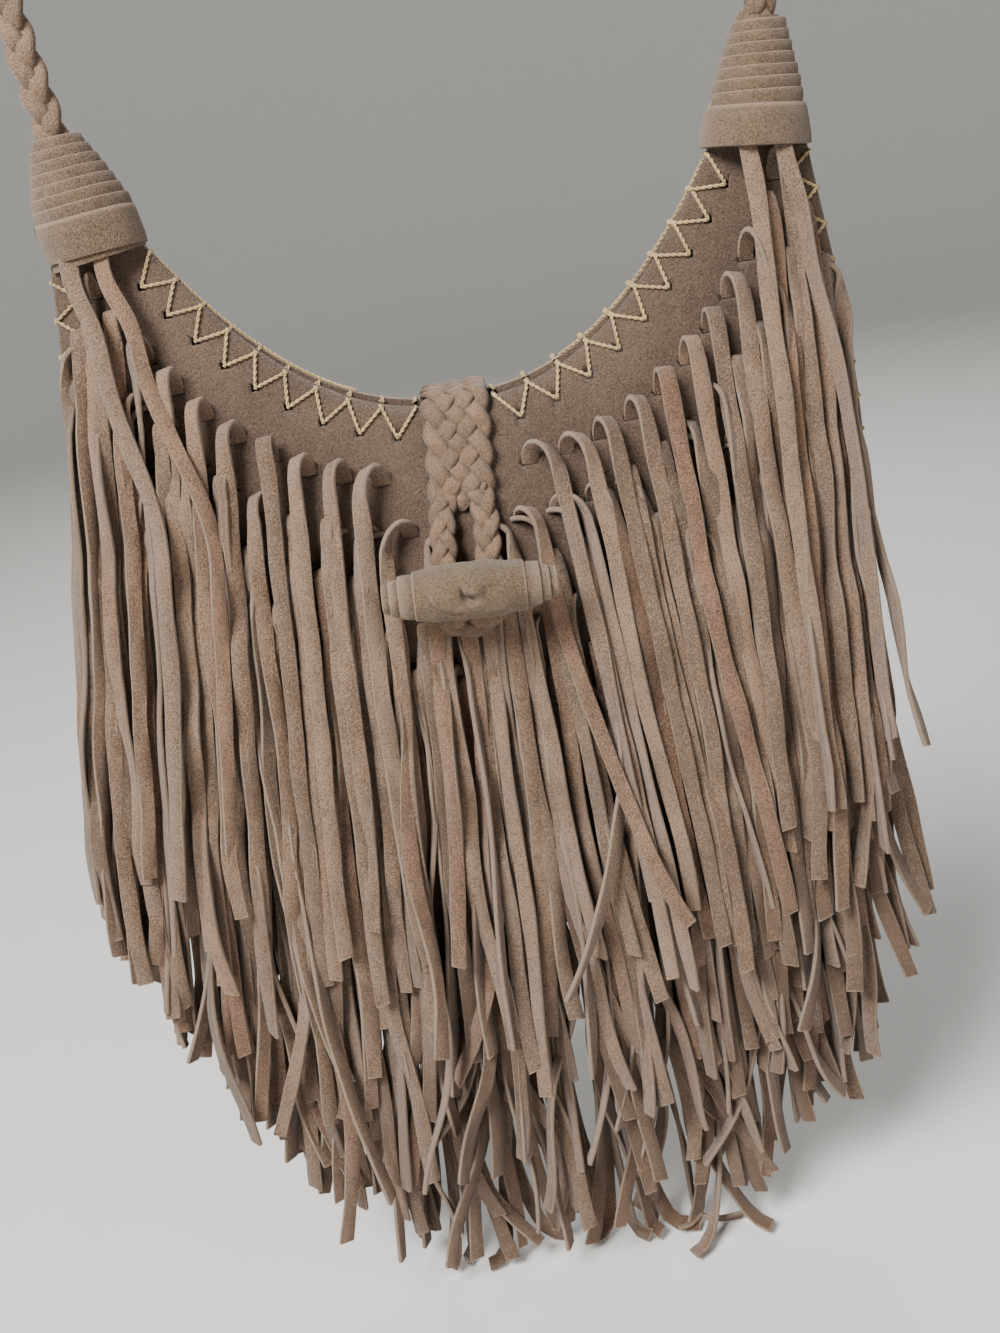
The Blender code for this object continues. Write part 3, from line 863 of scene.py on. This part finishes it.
def crossings(count, share):
    """How many crossings a strand has passed at a share of its way across and back."""
    step = 2 * count * share
    if step < 1.0:
        return 0.5 + step / 2
    if step < count - 1:
        return step
    if step < count + 1:
        return count - 1 + (step - (count - 1)) / 2
    if step < 2 * count - 1:
        return step - 1
    return 2 * count - 2 + (step - (2 * count - 1)) / 2


def sideways(way):
    """Direction across a braid that lies in a plane seen from the front."""
    return way.cross(Y).normalized()


def braid(bm, route, side_of, count, width, period, strand):
    """Flat braid along a route; side_of gives the direction across it from its heading."""
    points = even_steps(route, 0.0011)
    ways = headings(points)
    reach = (width - strand[0]) / 2
    total = len(points) - 1
    length = sum((b - a).length for a, b in zip(points, points[1:]))
    for number in range(count):
        path = []
        faces = []
        for index, (point, way) in enumerate(zip(points, ways)):
            share = (index / total * length / period + number / count) % 1.0
            side = side_of(way)
            out = way.cross(side).normalized()
            swing = math.asin(0.97 * math.cos(2 * math.pi * share)) / math.asin(0.97)
            over = clamp(1.25 * math.cos(math.pi * crossings(count, share)), -1.0, 1.0)
            lift = strand[1] * 0.52 * over
            path.append(point + side * swing * reach + out * lift)
            faces.append(out)
        path = softened(path, 1)
        stations = []
        for point, way, out in zip(path, headings(path), faces):
            across = way.cross(out).normalized()
            up = across.cross(way).normalized()
            stations.append(Station(point, across, up, strand[0] / 2, strand[1] / 2))
        tint_and_shade = (number * 0.37) % 1.0 - 0.5
        sweep(bm, stations, STRAND_SECTION, tint_and_shade=tint_and_shade * 0.5, warmth=tint_and_shade)


def toggle_profile():
    """Half the outline of the rolled toggle: stepped turns at each end, a full middle."""
    end = [(0.0, 0.0268), (0.0008, 0.0268), (0.0011, 0.0275), (0.0021, 0.0275),
           (0.0024, 0.0269), (0.0027, 0.0275), (0.0037, 0.0275), (0.0039, 0.0269),
           (0.0042, 0.0275), (0.0047, 0.0273)]
    half = [(reach, radius) for radius, reach in end]
    for (_, radius), (next_reach, next_radius) in zip(TOGGLE_STEPS, TOGGLE_STEPS[1:]):
        half += [(next_reach + 0.0007, radius + 0.0003), (next_reach + 0.0001, radius + 0.0002),
                 (next_reach, next_radius - 0.0003), (next_reach - 0.0003, next_radius)]
    reach, radius = TOGGLE_STEPS[-1]
    for index in range(1, 43):
        share = index / 42
        half.append((reach * (1.0 - share) - 0.0003 * (1.0 - share),
                     radius + TOGGLE_FULLNESS * math.sin(share * math.pi / 2)))
    return half


def bell(value, middle, reach):
    """A smooth hump, 1 at its middle."""
    return math.exp(-((value - middle) / reach) ** 2)


def pinch(along, up):
    """Depth pressed into the roll's front where its tail is pulled through it."""
    hole = bell(along, 0.0, 0.0022) * bell(up, -0.0004, 0.0015)
    notch = bell(along + up * 0.3, -0.0018, 0.0009) * bell(up, 0.0014, 0.0021)
    hump = bell(along, 0.0020, 0.0027) * bell(up, 0.0036, 0.0026)
    far = math.hypot(along + 0.003, up - 0.0055)
    angle = math.atan2(up - 0.0055, along + 0.003)
    lower = smooth((-1.35 - angle) / 0.4) * smooth((angle + 3.0) / 0.3)
    fold = bell(far, 0.0107, 0.0006) * lower
    lip = bell(far, 0.0093, 0.0012) * lower
    return 0.0032 * hole + 0.0019 * notch + 0.0008 * fold - 0.0006 * lip - 0.0017 * hump


def toggle_shape():
    """The roll, stepped at its ends and pinched in the middle of its front."""
    bm = new_shape()
    edge = bm.verts.layers.float["edge"]
    half = toggle_profile()
    outline = [Vector((reach, 0.0, radius)) for reach, radius in half]
    outline += [Vector((-reach, 0.0, radius)) for reach, radius in half[-2::-1]]
    turned(bm, outline, 150, (1, 0, 0))
    for vert in bm.verts:
        along, out, up = vert.co
        for reach, radius in TOGGLE_STEPS:
            if abs(abs(along) - reach) < 0.00035 and math.hypot(out, up) > radius - 0.0004:
                vert[edge] = 0.9
        wear = noise.noise(vert.co * 190.0) * 0.00045
        vert.co.y += wear
        vert.co.z += wear
        if out < 0.0:
            vert.co.y += smooth(-out / 0.005) * pinch(along, up)
    tilted(bm, TOGGLE_TILT, TOGGLE_CENTRE)
    return bm


def behind_toggle(point):
    """Keep a lace behind the room in which the toggle turns."""
    away = math.hypot(point.x - TOGGLE_CENTRE.x, point.z - TOGGLE_CENTRE.z)
    near = smooth((TOGGLE_ROOM - away) / 0.012)
    limit = max(point.y, TOGGLE_ROOM_FRONT)
    point.y = between(point.y, limit, near)


class Habit(NamedTuple):
    """How one lace hangs."""

    length: float
    sway: float
    sway_length: float
    phase: float
    swell: float
    kick: float
    twist: float
    curl: float


def lace_habit(rng, fringe, length, loose=0.0):
    """A lace's own way of hanging; the looser ones stray more."""
    unruly = 1.0 + (1.1 if rng.random() < 0.2 + 0.2 * loose else 0.0) + 0.4 * loose
    return Habit(
        length=length,
        sway=math.radians(rng.uniform(0.6, 2.4 + 3.0 * loose)) * unruly,
        sway_length=rng.uniform(0.07, 0.15),
        phase=rng.uniform(0.0, 2 * math.pi),
        swell=rng.uniform(0.0, 0.006 + 0.003 * loose) * unruly,
        kick=math.radians(rng.gauss(0.0, 3.5 + 3.3 * loose)) * unruly,
        twist=math.radians(rng.gauss(0.0, 26.0)) * unruly * fringe.twist,
        curl=math.radians(rng.uniform(5.0, 24.0)),
    )


def hem(x):
    """Height of the fringe's lower outline."""
    return FLOOR + HEM_RISE * (abs(x) / HEM_SPAN) ** HEM_POWER


def arch(start, side, reach, rise, out):
    """A lace's short arch out of its slit and over, before it hangs."""
    handles = (
        start + Y * 0.0012,
        start - Y * (0.45 * out) + Z * (1.35 * rise),
        start - Y * out + Z * (1.35 * rise) + X * (side * reach * 0.8),
        start - Y * out + X * (side * reach) - Z * 0.003,
    )
    points = []
    for index in range(13):
        share = index / 12
        rest = 1.0 - share
        point = handles[0] * rest ** 3 + handles[1] * (3 * rest * rest * share)
        points.append(point + handles[2] * (3 * rest * share * share) + handles[3] * share ** 3)
    return points


def parting(x, tier):
    """How far laces lean outward over the full belly, as a share of the fringe's flare."""
    side = abs(x) / BODY_HALF_WIDTH
    outer = 0.45 * side if x > 0.0 else -side ** 1.4
    middle = smooth((x + 0.020) / 0.050) * (1.0 - smooth((x - 0.055) / 0.055))
    return between(outer, 0.95, middle / (1.0 + 0.6 * tier))


def hang(point, tier, offset, habit, fringe):
    """The hanging part of a lace, from the end of its arch down to its tip."""
    count = max(4, round(habit.length / LACE_STEP))
    step = habit.length / count
    here = point.copy()
    start_y = point.y - hanging_depth(point.x, point.z, tier) - offset
    spread = fringe.flare * parting(point.x, tier)
    stop = 0.010 * math.sin(habit.phase * 5.0)
    points = []
    for index in range(1, count + 1):
        share = index / count
        walked = index * step
        swing = habit.sway * math.sin(2 * math.pi * walked / habit.sway_length + habit.phase)
        slope = math.atan(spread) - fringe.lean + swing * smooth(share * 2.5)
        slope += habit.kick * share ** 2
        if slope * here.x > 0.0:
            slope *= 1.0 - smooth((abs(here.x) - 0.140) / 0.018)
        grounded = smooth((FLOOR + 0.013 - here.z) / FLOOR_EASE)
        fall = 1.0 - grounded
        slide = math.copysign(0.75, habit.kick) * grounded
        here.x += step * (math.sin(slope) * fall + slide)
        here.z = max(here.z - step * math.cos(slope) * fall, FLOOR + 0.0012)
        depth = hanging_depth(here.x, here.z, tier) + offset
        loose = start_y * (1.0 - smooth(walked / 0.035))
        ripple = 0.0012 * math.sin(2 * math.pi * walked / 0.06 + habit.phase * 2)
        here.y = depth + loose - habit.swell * share ** 1.5 + ripple * share
        here.y -= 0.006 * grounded * share
        kept = here.copy()
        behind_toggle(kept)
        points.append(kept)
        if kept.z < hem(kept.x) + stop and abs(kept.x) > 0.06 and index > 12:
            break
    return points


def lace_stations(route, width, thickness, habit):
    """Stations of a lace: carried without spin, then turned to hang as its habit says."""
    ways = headings(route)
    across = X
    carried = []
    for way in ways:
        across = (across - way * across.dot(way)).normalized()
        carried.append(across)
    way = ways[-1]
    flat = (X - way * X.dot(way)).normalized()
    turn = math.atan2(across.cross(flat).dot(way), across.dot(flat))
    turn = (turn + math.pi / 2) % math.pi - math.pi / 2 + habit.twist
    walked = 0.0
    stations = []
    for index, (point, way, across) in enumerate(zip(route, ways, carried)):
        if index:
            walked += (point - route[index - 1]).length
        settle = smooth((walked - 0.006) / 0.030)
        wave = habit.curl * math.sin(2 * math.pi * walked / 0.09 + habit.phase)
        spin = turn * settle + wave * smooth((walked - 0.02) / 0.05)
        out = way.cross(across).normalized()
        side = across * math.cos(spin) + out * math.sin(spin)
        out = way.cross(side).normalized()
        wide = width * (1.0 + 0.05 * math.sin(walked * 190 + habit.phase))
        stations.append(Station(point, side, out, wide / 2, thickness / 2))
    return stations


def lace(bm, route, rng, habit, fringe, row=0):
    """One lace with its own width, lightness and slightly skewed cut end; the lower rows, which
    hang inside the fringe, are painted darker as painted shade, and a little pinker.
    """
    tip = route[-1] + (route[-1] - route[-2]).normalized() * 0.0006
    width = fringe.lace_width * rng.uniform(0.92, 1.07)
    thickness = fringe.lace_thickness * rng.uniform(0.92, 1.05)
    stations = lace_stations(route + [tip], width, thickness, habit)
    # Painted shade: the lightness offset drops by 0.17 a row, darkening the lower rows that hang
    # inside the fringe.
    sweep(bm, stations, LACE_SECTION, tint_and_shade=rng.uniform(-0.6, 0.8) - 0.17 * row,
          warmth=rng.gauss(0.0, 0.6) + 0.08 * row, skew=rng.uniform(-0.35, 0.35))


def row_length(row, x):
    """Usual length of a row's laces, longer at the sides of the first rows."""
    side = (abs(x) / ROW_LIMITS[row]) ** 2
    if row < 2:
        return between(0.156, 0.196, side)
    return between(0.168, 0.160, side) + 0.002 * (row - 2) + 0.030 * smooth((-x - 0.02) / 0.05)


def laced(row, x):
    """Whether a slit has laces: the first row leaves room for the toggle."""
    return row > 0 or not FIRST_ROW_GAP[0] < x < FIRST_ROW_GAP[1]


def row_laces(bm, row, low, high, fringe, rng):
    """The laces of one row whose slits lie between two places, two to most slits."""
    tier = row // 2
    offset = -0.0012 if row % 2 == 0 else 0.0012
    for x in slit_places(row):
        if not low <= x < high or not laced(row, x):
            continue
        z = row_height(row, x)
        near_tab = abs(x - tab_middle(z)) < 0.013 and row < 2
        side = -1.0 if x < tab_middle(z) else 1.0
        central = 1.0 - smooth((abs(x) - 0.015) / 0.035)
        start = Vector((x, -outer_face(x, z, FRONT_BULGE), z))
        doubled = row > 1 or rng.random() < 0.45 * row
        for number in range(2 if doubled and not near_tab else 1):
            reach = between(rng.uniform(0.001, 0.005), rng.uniform(0.004, 0.011), central)
            if row > 1:
                reach = between(reach, rng.uniform(-0.006, 0.006), central)
            out = rng.uniform(0.0058, 0.0078) if row == 0 else rng.uniform(0.0042, 0.0056)
            rise = rng.uniform(0.0065, 0.0088) if row == 0 else rng.uniform(0.004, 0.0065)
            if near_tab or number:
                out, rise = 0.0026, 0.0010
            if number:
                reach += rng.uniform(0.001, 0.004) * (1.0 - central)
            length = row_length(row, x) * fringe.length * rng.uniform(0.88, 1.08)
            habit = lace_habit(rng, fringe, length, clamp((row - 1) / 4 + 0.35 * central))
            begin = start - X * (side * 0.0012 * number)
            route = arch(begin, side, reach, rise, out)
            route += hang(route[-1], tier, offset + 0.0010 * number, habit, fringe)
            lace(bm, route, rng, habit, fringe, row)


def cone_lace_shape(sign, number, fringe, rng):
    """A lace that comes out from under a cone and hangs in front of the fringe."""
    bm = new_shape()
    reach, drift, length = CONE_LACES[sign][number]
    start = Vector((sign * reach, -0.0085, 0.006))
    bend = Vector((sign * (reach + 0.001), -0.0120, -0.006))
    shoulder = Vector((sign * (reach + 0.001 + drift * 0.35), -0.0165, -0.020))
    route = softened(even_steps([start, bend, shoulder], 0.003), 3)
    habit = lace_habit(rng, fringe, length * fringe.length)
    habit = habit._replace(kick=math.radians(2.0 * sign), swell=0.002)
    hung = hang(route[-1], 0, -0.0062, habit, fringe)
    for index, point in enumerate(hung):
        point.x += sign * drift * smooth(index / 12)
    lace(bm, softened(route + hung, 4), rng, habit, fringe)
    return bm


def toggle_lace_shape():
    """The lace that holds the toggle, from the front panel through the loop."""
    bm = new_shape()
    near = -outer_face(TOGGLE_CENTRE.x, TOGGLE_CENTRE.z, FRONT_BULGE) + 0.0004
    stations = []
    for index in range(9):
        share = index / 8
        sag = 0.0006 * math.sin(share * math.pi)
        middle = Vector((TOGGLE_CENTRE.x, between(near, TOGGLE_BACK + 0.0003, share),
                         TOGGLE_CENTRE.z - sag))
        stations.append(Station(middle, X, Z, 0.0025, 0.0009))
    sweep(bm, stations, LACE_SECTION, tint_and_shade=0.2)
    return bm


def soft_light(name, place, size, watts, colour):
    """A square soft light that shines at the middle of the bag."""
    light = bpy.data.lights.new(name, "AREA")
    light.size = size
    light.energy = watts
    light.color = colour
    lamp = bpy.data.objects.new(name, light)
    aim = Vector((0.0, 0.0, RIMS - 0.15)) - Vector(place)
    turn = aim.to_track_quat("-Z", "Y").to_matrix().to_4x4()
    lamp.matrix_world = Matrix.Translation(place) @ turn
    bpy.context.scene.collection.objects.link(lamp)


# Settings


def colour_setting(name, description, default):
    """A colour among the settings."""
    return FloatVectorProperty(name=name, description=description, default=default,
                               subtype="COLOR", size=3, min=0, max=1)


def number_setting(name, description, default, low, high, **kind):
    """A number among the settings, with its limits and its unit or subtype."""
    return FloatProperty(name=name, description=description, default=default, min=low, max=high,
                         **kind)


class SuedeColours(bpy.types.PropertyGroup):
    """Colours and nap of the suede and the thread."""

    panel: colour_setting("Panels", "Suede of the two panels", (0.114, 0.078, 0.056))
    laces: colour_setting("Laces", "Suede of the fringe and the braids", (0.214, 0.142, 0.096))
    cones: colour_setting("Cones", "Suede wound round the strap's ends", (0.156, 0.108, 0.072))
    toggle: colour_setting("Toggle", "Suede of the rolled toggle", (0.152, 0.106, 0.069))
    raw_edge: colour_setting("Raw edge", "Cut edges of the suede", (0.380, 0.275, 0.195))
    thread: colour_setting("Thread", "Waxed stitching thread", (0.560, 0.410, 0.215))
    nap: number_setting("Nap", "How strongly the suede's nap shows",
                        1.0, 0.0, 2.0, subtype="FACTOR")


class FringeSettings(bpy.types.PropertyGroup):
    """Size and fall of the laces."""

    lace_width: number_setting("Lace width", "Width of a lace", 0.0053, 0.003, 0.008, unit="LENGTH")
    lace_thickness: number_setting("Lace thickness", "Thickness of a lace",
                                   0.0017, 0.001, 0.003, unit="LENGTH")
    length: number_setting("Length", "Lace length as a share of the usual",
                           1.0, 0.5, 1.1, subtype="FACTOR")
    flare: number_setting("Flare", "Outward slope of the laces at the sides", 0.135, 0.0, 0.3)
    lean: number_setting("Lean", "Lean of all the laces towards the left",
                         math.radians(3.4), -0.2, 0.2, unit="ROTATION")
    twist: number_setting("Twist", "How much the laces turn as they hang",
                          1.0, 0.0, 2.0, subtype="FACTOR")
    seed: IntProperty(name="Seed", description="Another fall of the same laces", default=7)


class TrimSettings(bpy.types.PropertyGroup):
    """Stitching, cones and braids."""

    stitch_pitch: number_setting("Stitch pitch", "Length of one zigzag",
                                 0.0112, 0.006, 0.02, unit="LENGTH")
    stitch_depth: number_setting("Stitch depth", "Holes' distance from the edge",
                                 0.0087, 0.004, 0.012, unit="LENGTH")
    thread_width: number_setting("Thread width", "Thickness of the thread",
                                 0.00118, 0.0006, 0.002, unit="LENGTH")
    cone_turns: IntProperty(name="Cone turns", description="Narrow turns on each cone",
                            default=7, min=4, max=10)
    strand_width: number_setting("Strand width", "Width of a braid's strand",
                                 0.0052, 0.003, 0.007, unit="LENGTH")


class StageSettings(bpy.types.PropertyGroup):
    """Floor and light."""

    floor: colour_setting("Floor", "Colour of the studio floor", (0.72, 0.71, 0.69))
    key: number_setting("Key light", "Power of the main light", 68.0, 0.0, 100.0, unit="POWER")
    fill: number_setting("Fill light", "Power of the light opposite", 4.0, 0.0, 100.0, unit="POWER")
    sky: number_setting("Sky", "Strength of the light all round", 0.075, 0.0, 3.0)


class SuedeBagSettings(bpy.types.PropertyGroup):
    """All the bag's settings."""

    colours: PointerProperty(type=SuedeColours)
    fringe: PointerProperty(type=FringeSettings)
    trim: PointerProperty(type=TrimSettings)
    stage: PointerProperty(type=StageSettings)


# Operators


class SUEDEBAG_OT_stage(bpy.types.Operator):
    """Set the floor, the soft lights and the camera"""

    bl_idname = "suede_bag.stage"
    bl_label = "Stage"

    def execute(self, context):
        stage = context.scene.suede_bag.stage
        bm = bmesh.new()
        outline = [Vector((0, 0, 0)), Vector((1.0, 0, 0)), Vector((2.4, 0, 0))]
        for index in range(1, 9):
            angle = index / 8 * math.pi / 2
            outline.append(Vector((2.4 + math.sin(angle), 0, 1.0 - math.cos(angle))))
        outline.append(Vector((3.4, 0, 3.0)))
        turned(bm, outline, 64, (0, 0, 1))
        bmesh.ops.translate(bm, vec=Z * (FLOOR - FLOOR_GAP), verts=bm.verts)
        floor = placed("studio_floor", bm, [backdrop("studio_floor", stage.floor)])
        soft_light("key_light", (-0.70, -0.95, 0.75), 0.7, stage.key, (1.0, 0.98, 0.95))
        soft_light("fill_light", (1.1, -0.6, 0.1), 1.0, stage.fill, (0.95, 0.97, 1.0))
        soft_light("back_light", (0.3, 1.2, 0.7), 0.9, stage.fill * 3.0, (1.0, 0.98, 0.96))
        world = context.scene.world or bpy.data.worlds.new("studio")
        context.scene.world = world
        world.use_nodes = True
        sky = world.node_tree.nodes["Background"]
        sky.inputs["Color"].default_value = (0.93, 0.95, 1.0, 1.0)
        sky.inputs["Strength"].default_value = stage.sky
        self.camera(context)
        return {"FINISHED"}

    def camera(self, context):
        """Look at the bag from in front and a little above, with the camera tilted."""
        ahead = Vector((0.0, math.cos(CAMERA_PITCH), -math.sin(CAMERA_PITCH)))
        level = Vector((0.0, math.sin(CAMERA_PITCH), math.cos(CAMERA_PITCH)))
        right = X * math.cos(CAMERA_ROLL) - level * math.sin(CAMERA_ROLL)
        up = X * math.sin(CAMERA_ROLL) + level * math.cos(CAMERA_ROLL)
        turn = Matrix((right, up, -ahead)).transposed().to_4x4()
        lens = bpy.data.cameras.new("camera")
        lens.sensor_fit = "VERTICAL"
        lens.sensor_height = CAMERA_SENSOR
        lens.lens = CAMERA_LENS
        camera = bpy.data.objects.new("camera", lens)
        camera.matrix_world = Matrix.Translation(CAMERA_PLACE) @ turn
        context.scene.collection.objects.link(camera)
        context.scene.camera = camera


class SUEDEBAG_OT_panels(bpy.types.Operator):
    """Make the two panels, the front one with its slits and stitch holes"""

    bl_idname = "suede_bag.panels"
    bl_label = "Panels"

    def execute(self, context):
        settings = context.scene.suede_bag
        colours = settings.colours
        face = suede("suede_panel", colours.panel, colours, 0.75)
        rim = suede("suede_panel_edge", toned(colours.raw_edge, 0.8), colours)
        front = placed("panel_front", panel_shape(120, 44, -1.0, FRONT_BULGE), [face, rim])
        back = placed("panel_back", panel_shape(96, 36, 1.0, BACK_BULGE), [face, rim])
        for piece in (front, back):
            solid = piece.modifiers.new("suede", "SOLIDIFY")
            solid.thickness = SUEDE
            solid.offset = 0.0
            solid.material_offset_rim = 1
        bm = bmesh.new()
        slits = []
        for row in range(OPEN_ROWS):
            slits += [(x, row_height(row, x)) for x in slit_places(row) if laced(row, x)]
        punched(bm, slits, (SLIT_LENGTH, 0.010, SLIT_HEIGHT))
        stitches = mouth_stitches(settings.trim) + side_stitches(settings.trim)
        punched(bm, hole_places(stitches), NEEDLE_HOLE)
        cutter = placed("punch", bm, [face])
        cut = front.modifiers.new("punched", "BOOLEAN")
        cut.operation = "DIFFERENCE"
        cut.solver = "EXACT"
        cut.object = cutter
        settled(front)
        settled(back)
        bpy.data.objects.remove(cutter)
        belongs(front, "suede_panel", "front_panel")
        belongs(back, "suede_panel", "back_panel")
        return {"FINISHED"}


class SUEDEBAG_OT_stitching(bpy.types.Operator):
    """Sew the zigzag of twisted thread along the mouth and down the side seams"""

    bl_idname = "suede_bag.stitching"
    bl_label = "Stitching"

    def execute(self, context):
        settings = context.scene.suede_bag
        material = waxed_thread("waxed_thread", settings.colours.thread)
        radius = settings.trim.thread_width / 2
        mouth = mouth_stitches(settings.trim)
        sides = side_stitches(settings.trim)
        sewn = (
            ("stitching_front", mouth, -1.0, FRONT_BULGE),
            ("stitching_back", mouth, 1.0, BACK_BULGE),
            ("stitching_sides", sides, -1.0, FRONT_BULGE),
        )
        for name, runs, side, bulge in sewn:
            bm = new_shape()
            zigzag(bm, runs, side, bulge, radius)
            if side > 0:
                mouth_cord(bm, radius * 0.9)
            belongs(placed(name, bm, [material]), "thread")
        return {"FINISHED"}


class SUEDEBAG_OT_cones(bpy.types.Operator):
    """Wind the two cones at the ends of the strap"""

    bl_idname = "suede_bag.cones"
    bl_label = "Cones"

    def execute(self, context):
        settings = context.scene.suede_bag
        colours = settings.colours
        material = suede("suede_wrap", colours.cones, colours, 0.8)
        for name, sign in SIDES:
            bm = cone_shape(sign, settings.trim.cone_turns)
            piece = placed(f"wound_cone_{name}", bm, [material])
            belongs(piece, "suede_wrap", f"cone_wrap_{name}")
        return {"FINISHED"}


class SUEDEBAG_OT_strap(bpy.types.Operator):
    """Braid the strap from cone to cone"""

    bl_idname = "suede_bag.strap"
    bl_label = "Strap"

    def execute(self, context):
        settings = context.scene.suede_bag
        colours = settings.colours
        material = suede("suede_strap", colours.laces, colours, 0.8)
        bm = new_shape()
        strand = (settings.trim.strand_width + 0.0007, 0.0024)
        route = softened(even_steps(strap_route(), 0.004), 2)
        braid(bm, route, sideways, 3, STRAP_WIDTH + 0.0016, STRAP_PERIOD, strand)
        belongs(placed("braided_strap", bm, [material], 80.0), "suede_braid", "strap")
        return {"FINISHED"}


class SUEDEBAG_OT_closure(bpy.types.Operator):
    """Braid the closure: six strands over the mouth, then a three-strand loop"""

    bl_idname = "suede_bag.closure"
    bl_label = "Closure"

    def execute(self, context):
        settings = context.scene.suede_bag
        colours = settings.colours
        material = suede("suede_closure", toned(colours.laces, 0.94), colours, 0.55)
        width = settings.trim.strand_width
        bm = new_shape()
        route = softened(even_steps(tab_route(), 0.0015), 2)
        braid(bm, route, lambda way: X, 6, TAB_WIDTH, TAB_PERIOD, (width + 0.0006, 0.0019))
        route = softened(even_steps(loop_route(), 0.0015), 2)
        braid(bm, route, sideways, 3, LOOP_WIDTH, LOOP_PERIOD, (width - 0.0004, 0.0017))
        belongs(placed("braided_closure", bm, [material], 80.0), "suede_braid", "closure_tab")
        return {"FINISHED"}


class SUEDEBAG_OT_toggle(bpy.types.Operator):
    """Roll the toggle and thread the lace that holds it"""

    bl_idname = "suede_bag.toggle"
    bl_label = "Toggle"

    def execute(self, context):
        settings = context.scene.suede_bag
        colours = settings.colours
        material = suede("suede_toggle", colours.toggle, colours, 0.9)
        roll = placed("rolled_toggle", toggle_shape(), [material], 40.0)
        belongs(roll, "suede_toggle", "toggle", body="toggle")
        tail = placed("toggle_tail", toggle_lace_shape(), [material])
        belongs(tail, "suede_fringe", "toggle_lace")
        return {"FINISHED"}


class SUEDEBAG_OT_fringe(bpy.types.Operator):
    """Thread nine rows of laces and let them hang"""

    bl_idname = "suede_bag.fringe"
    bl_label = "Fringe"

    def execute(self, context):
        settings = context.scene.suede_bag
        colours = settings.colours
        material = suede("suede_laces", colours.laces, colours)
        rng = random.Random(settings.fringe.seed)
        middle = tab_middle(TOGGLE_CENTRE.z)
        for tier in range(TIER_COUNT):
            for name, low, high in (("left", -1.0, middle), ("right", middle, 1.0)):
                bm = new_shape()
                for row in range(2 * tier, min(2 * tier + 2, ROW_COUNT)):
                    row_laces(bm, row, low, high, settings.fringe, rng)
                piece = placed(f"laces_{tier + 1}_{name}", bm, [material])
                belongs(piece, "suede_fringe", f"fringe_tier_{tier + 1}_{name}")
        for name, sign in SIDES:
            for number in range(2):
                bm = cone_lace_shape(sign, number, settings.fringe, rng)
                piece = placed(f"long_lace_{name}_{number + 1}", bm, [material])
                belongs(piece, "suede_fringe", f"cone_lace_{name}_{number + 1}")
        return {"FINISHED"}


class SUEDEBAG_PT_pieces(bpy.types.Panel):
    """Settings and pieces of the bag"""

    bl_label = "Suede bag"
    bl_idname = "SUEDEBAG_PT_pieces"
    bl_space_type = "VIEW_3D"
    bl_region_type = "UI"
    bl_category = "Suede bag"

    def draw(self, context):
        settings = context.scene.suede_bag
        for group in (settings.colours, settings.fringe, settings.trim, settings.stage):
            box = self.layout.box()
            for key in group.__annotations__:
                box.prop(group, key)
        column = self.layout.column()
        for operator in OPERATORS:
            column.operator(operator.bl_idname)


OPERATORS = (
    SUEDEBAG_OT_stage,
    SUEDEBAG_OT_panels,
    SUEDEBAG_OT_stitching,
    SUEDEBAG_OT_cones,
    SUEDEBAG_OT_strap,
    SUEDEBAG_OT_closure,
    SUEDEBAG_OT_toggle,
    SUEDEBAG_OT_fringe,
)
CLASSES = (SuedeColours, FringeSettings, TrimSettings, StageSettings, SuedeBagSettings,
           *OPERATORS, SUEDEBAG_PT_pieces)


def register():
    """Add the classes and the scene's settings."""
    for item in CLASSES:
        bpy.utils.register_class(item)
    bpy.types.Scene.suede_bag = PointerProperty(type=SuedeBagSettings)


def unregister():
    """Take them away again."""
    del bpy.types.Scene.suede_bag
    for item in reversed(CLASSES):
        bpy.utils.unregister_class(item)


def main():
    """Make every piece in order."""
    register()
    bpy.ops.suede_bag.stage()
    bpy.ops.suede_bag.panels()
    bpy.ops.suede_bag.stitching()
    bpy.ops.suede_bag.cones()
    bpy.ops.suede_bag.strap()
    bpy.ops.suede_bag.closure()
    bpy.ops.suede_bag.toggle()
    bpy.ops.suede_bag.fringe()


if __name__ == "__main__":
    main()
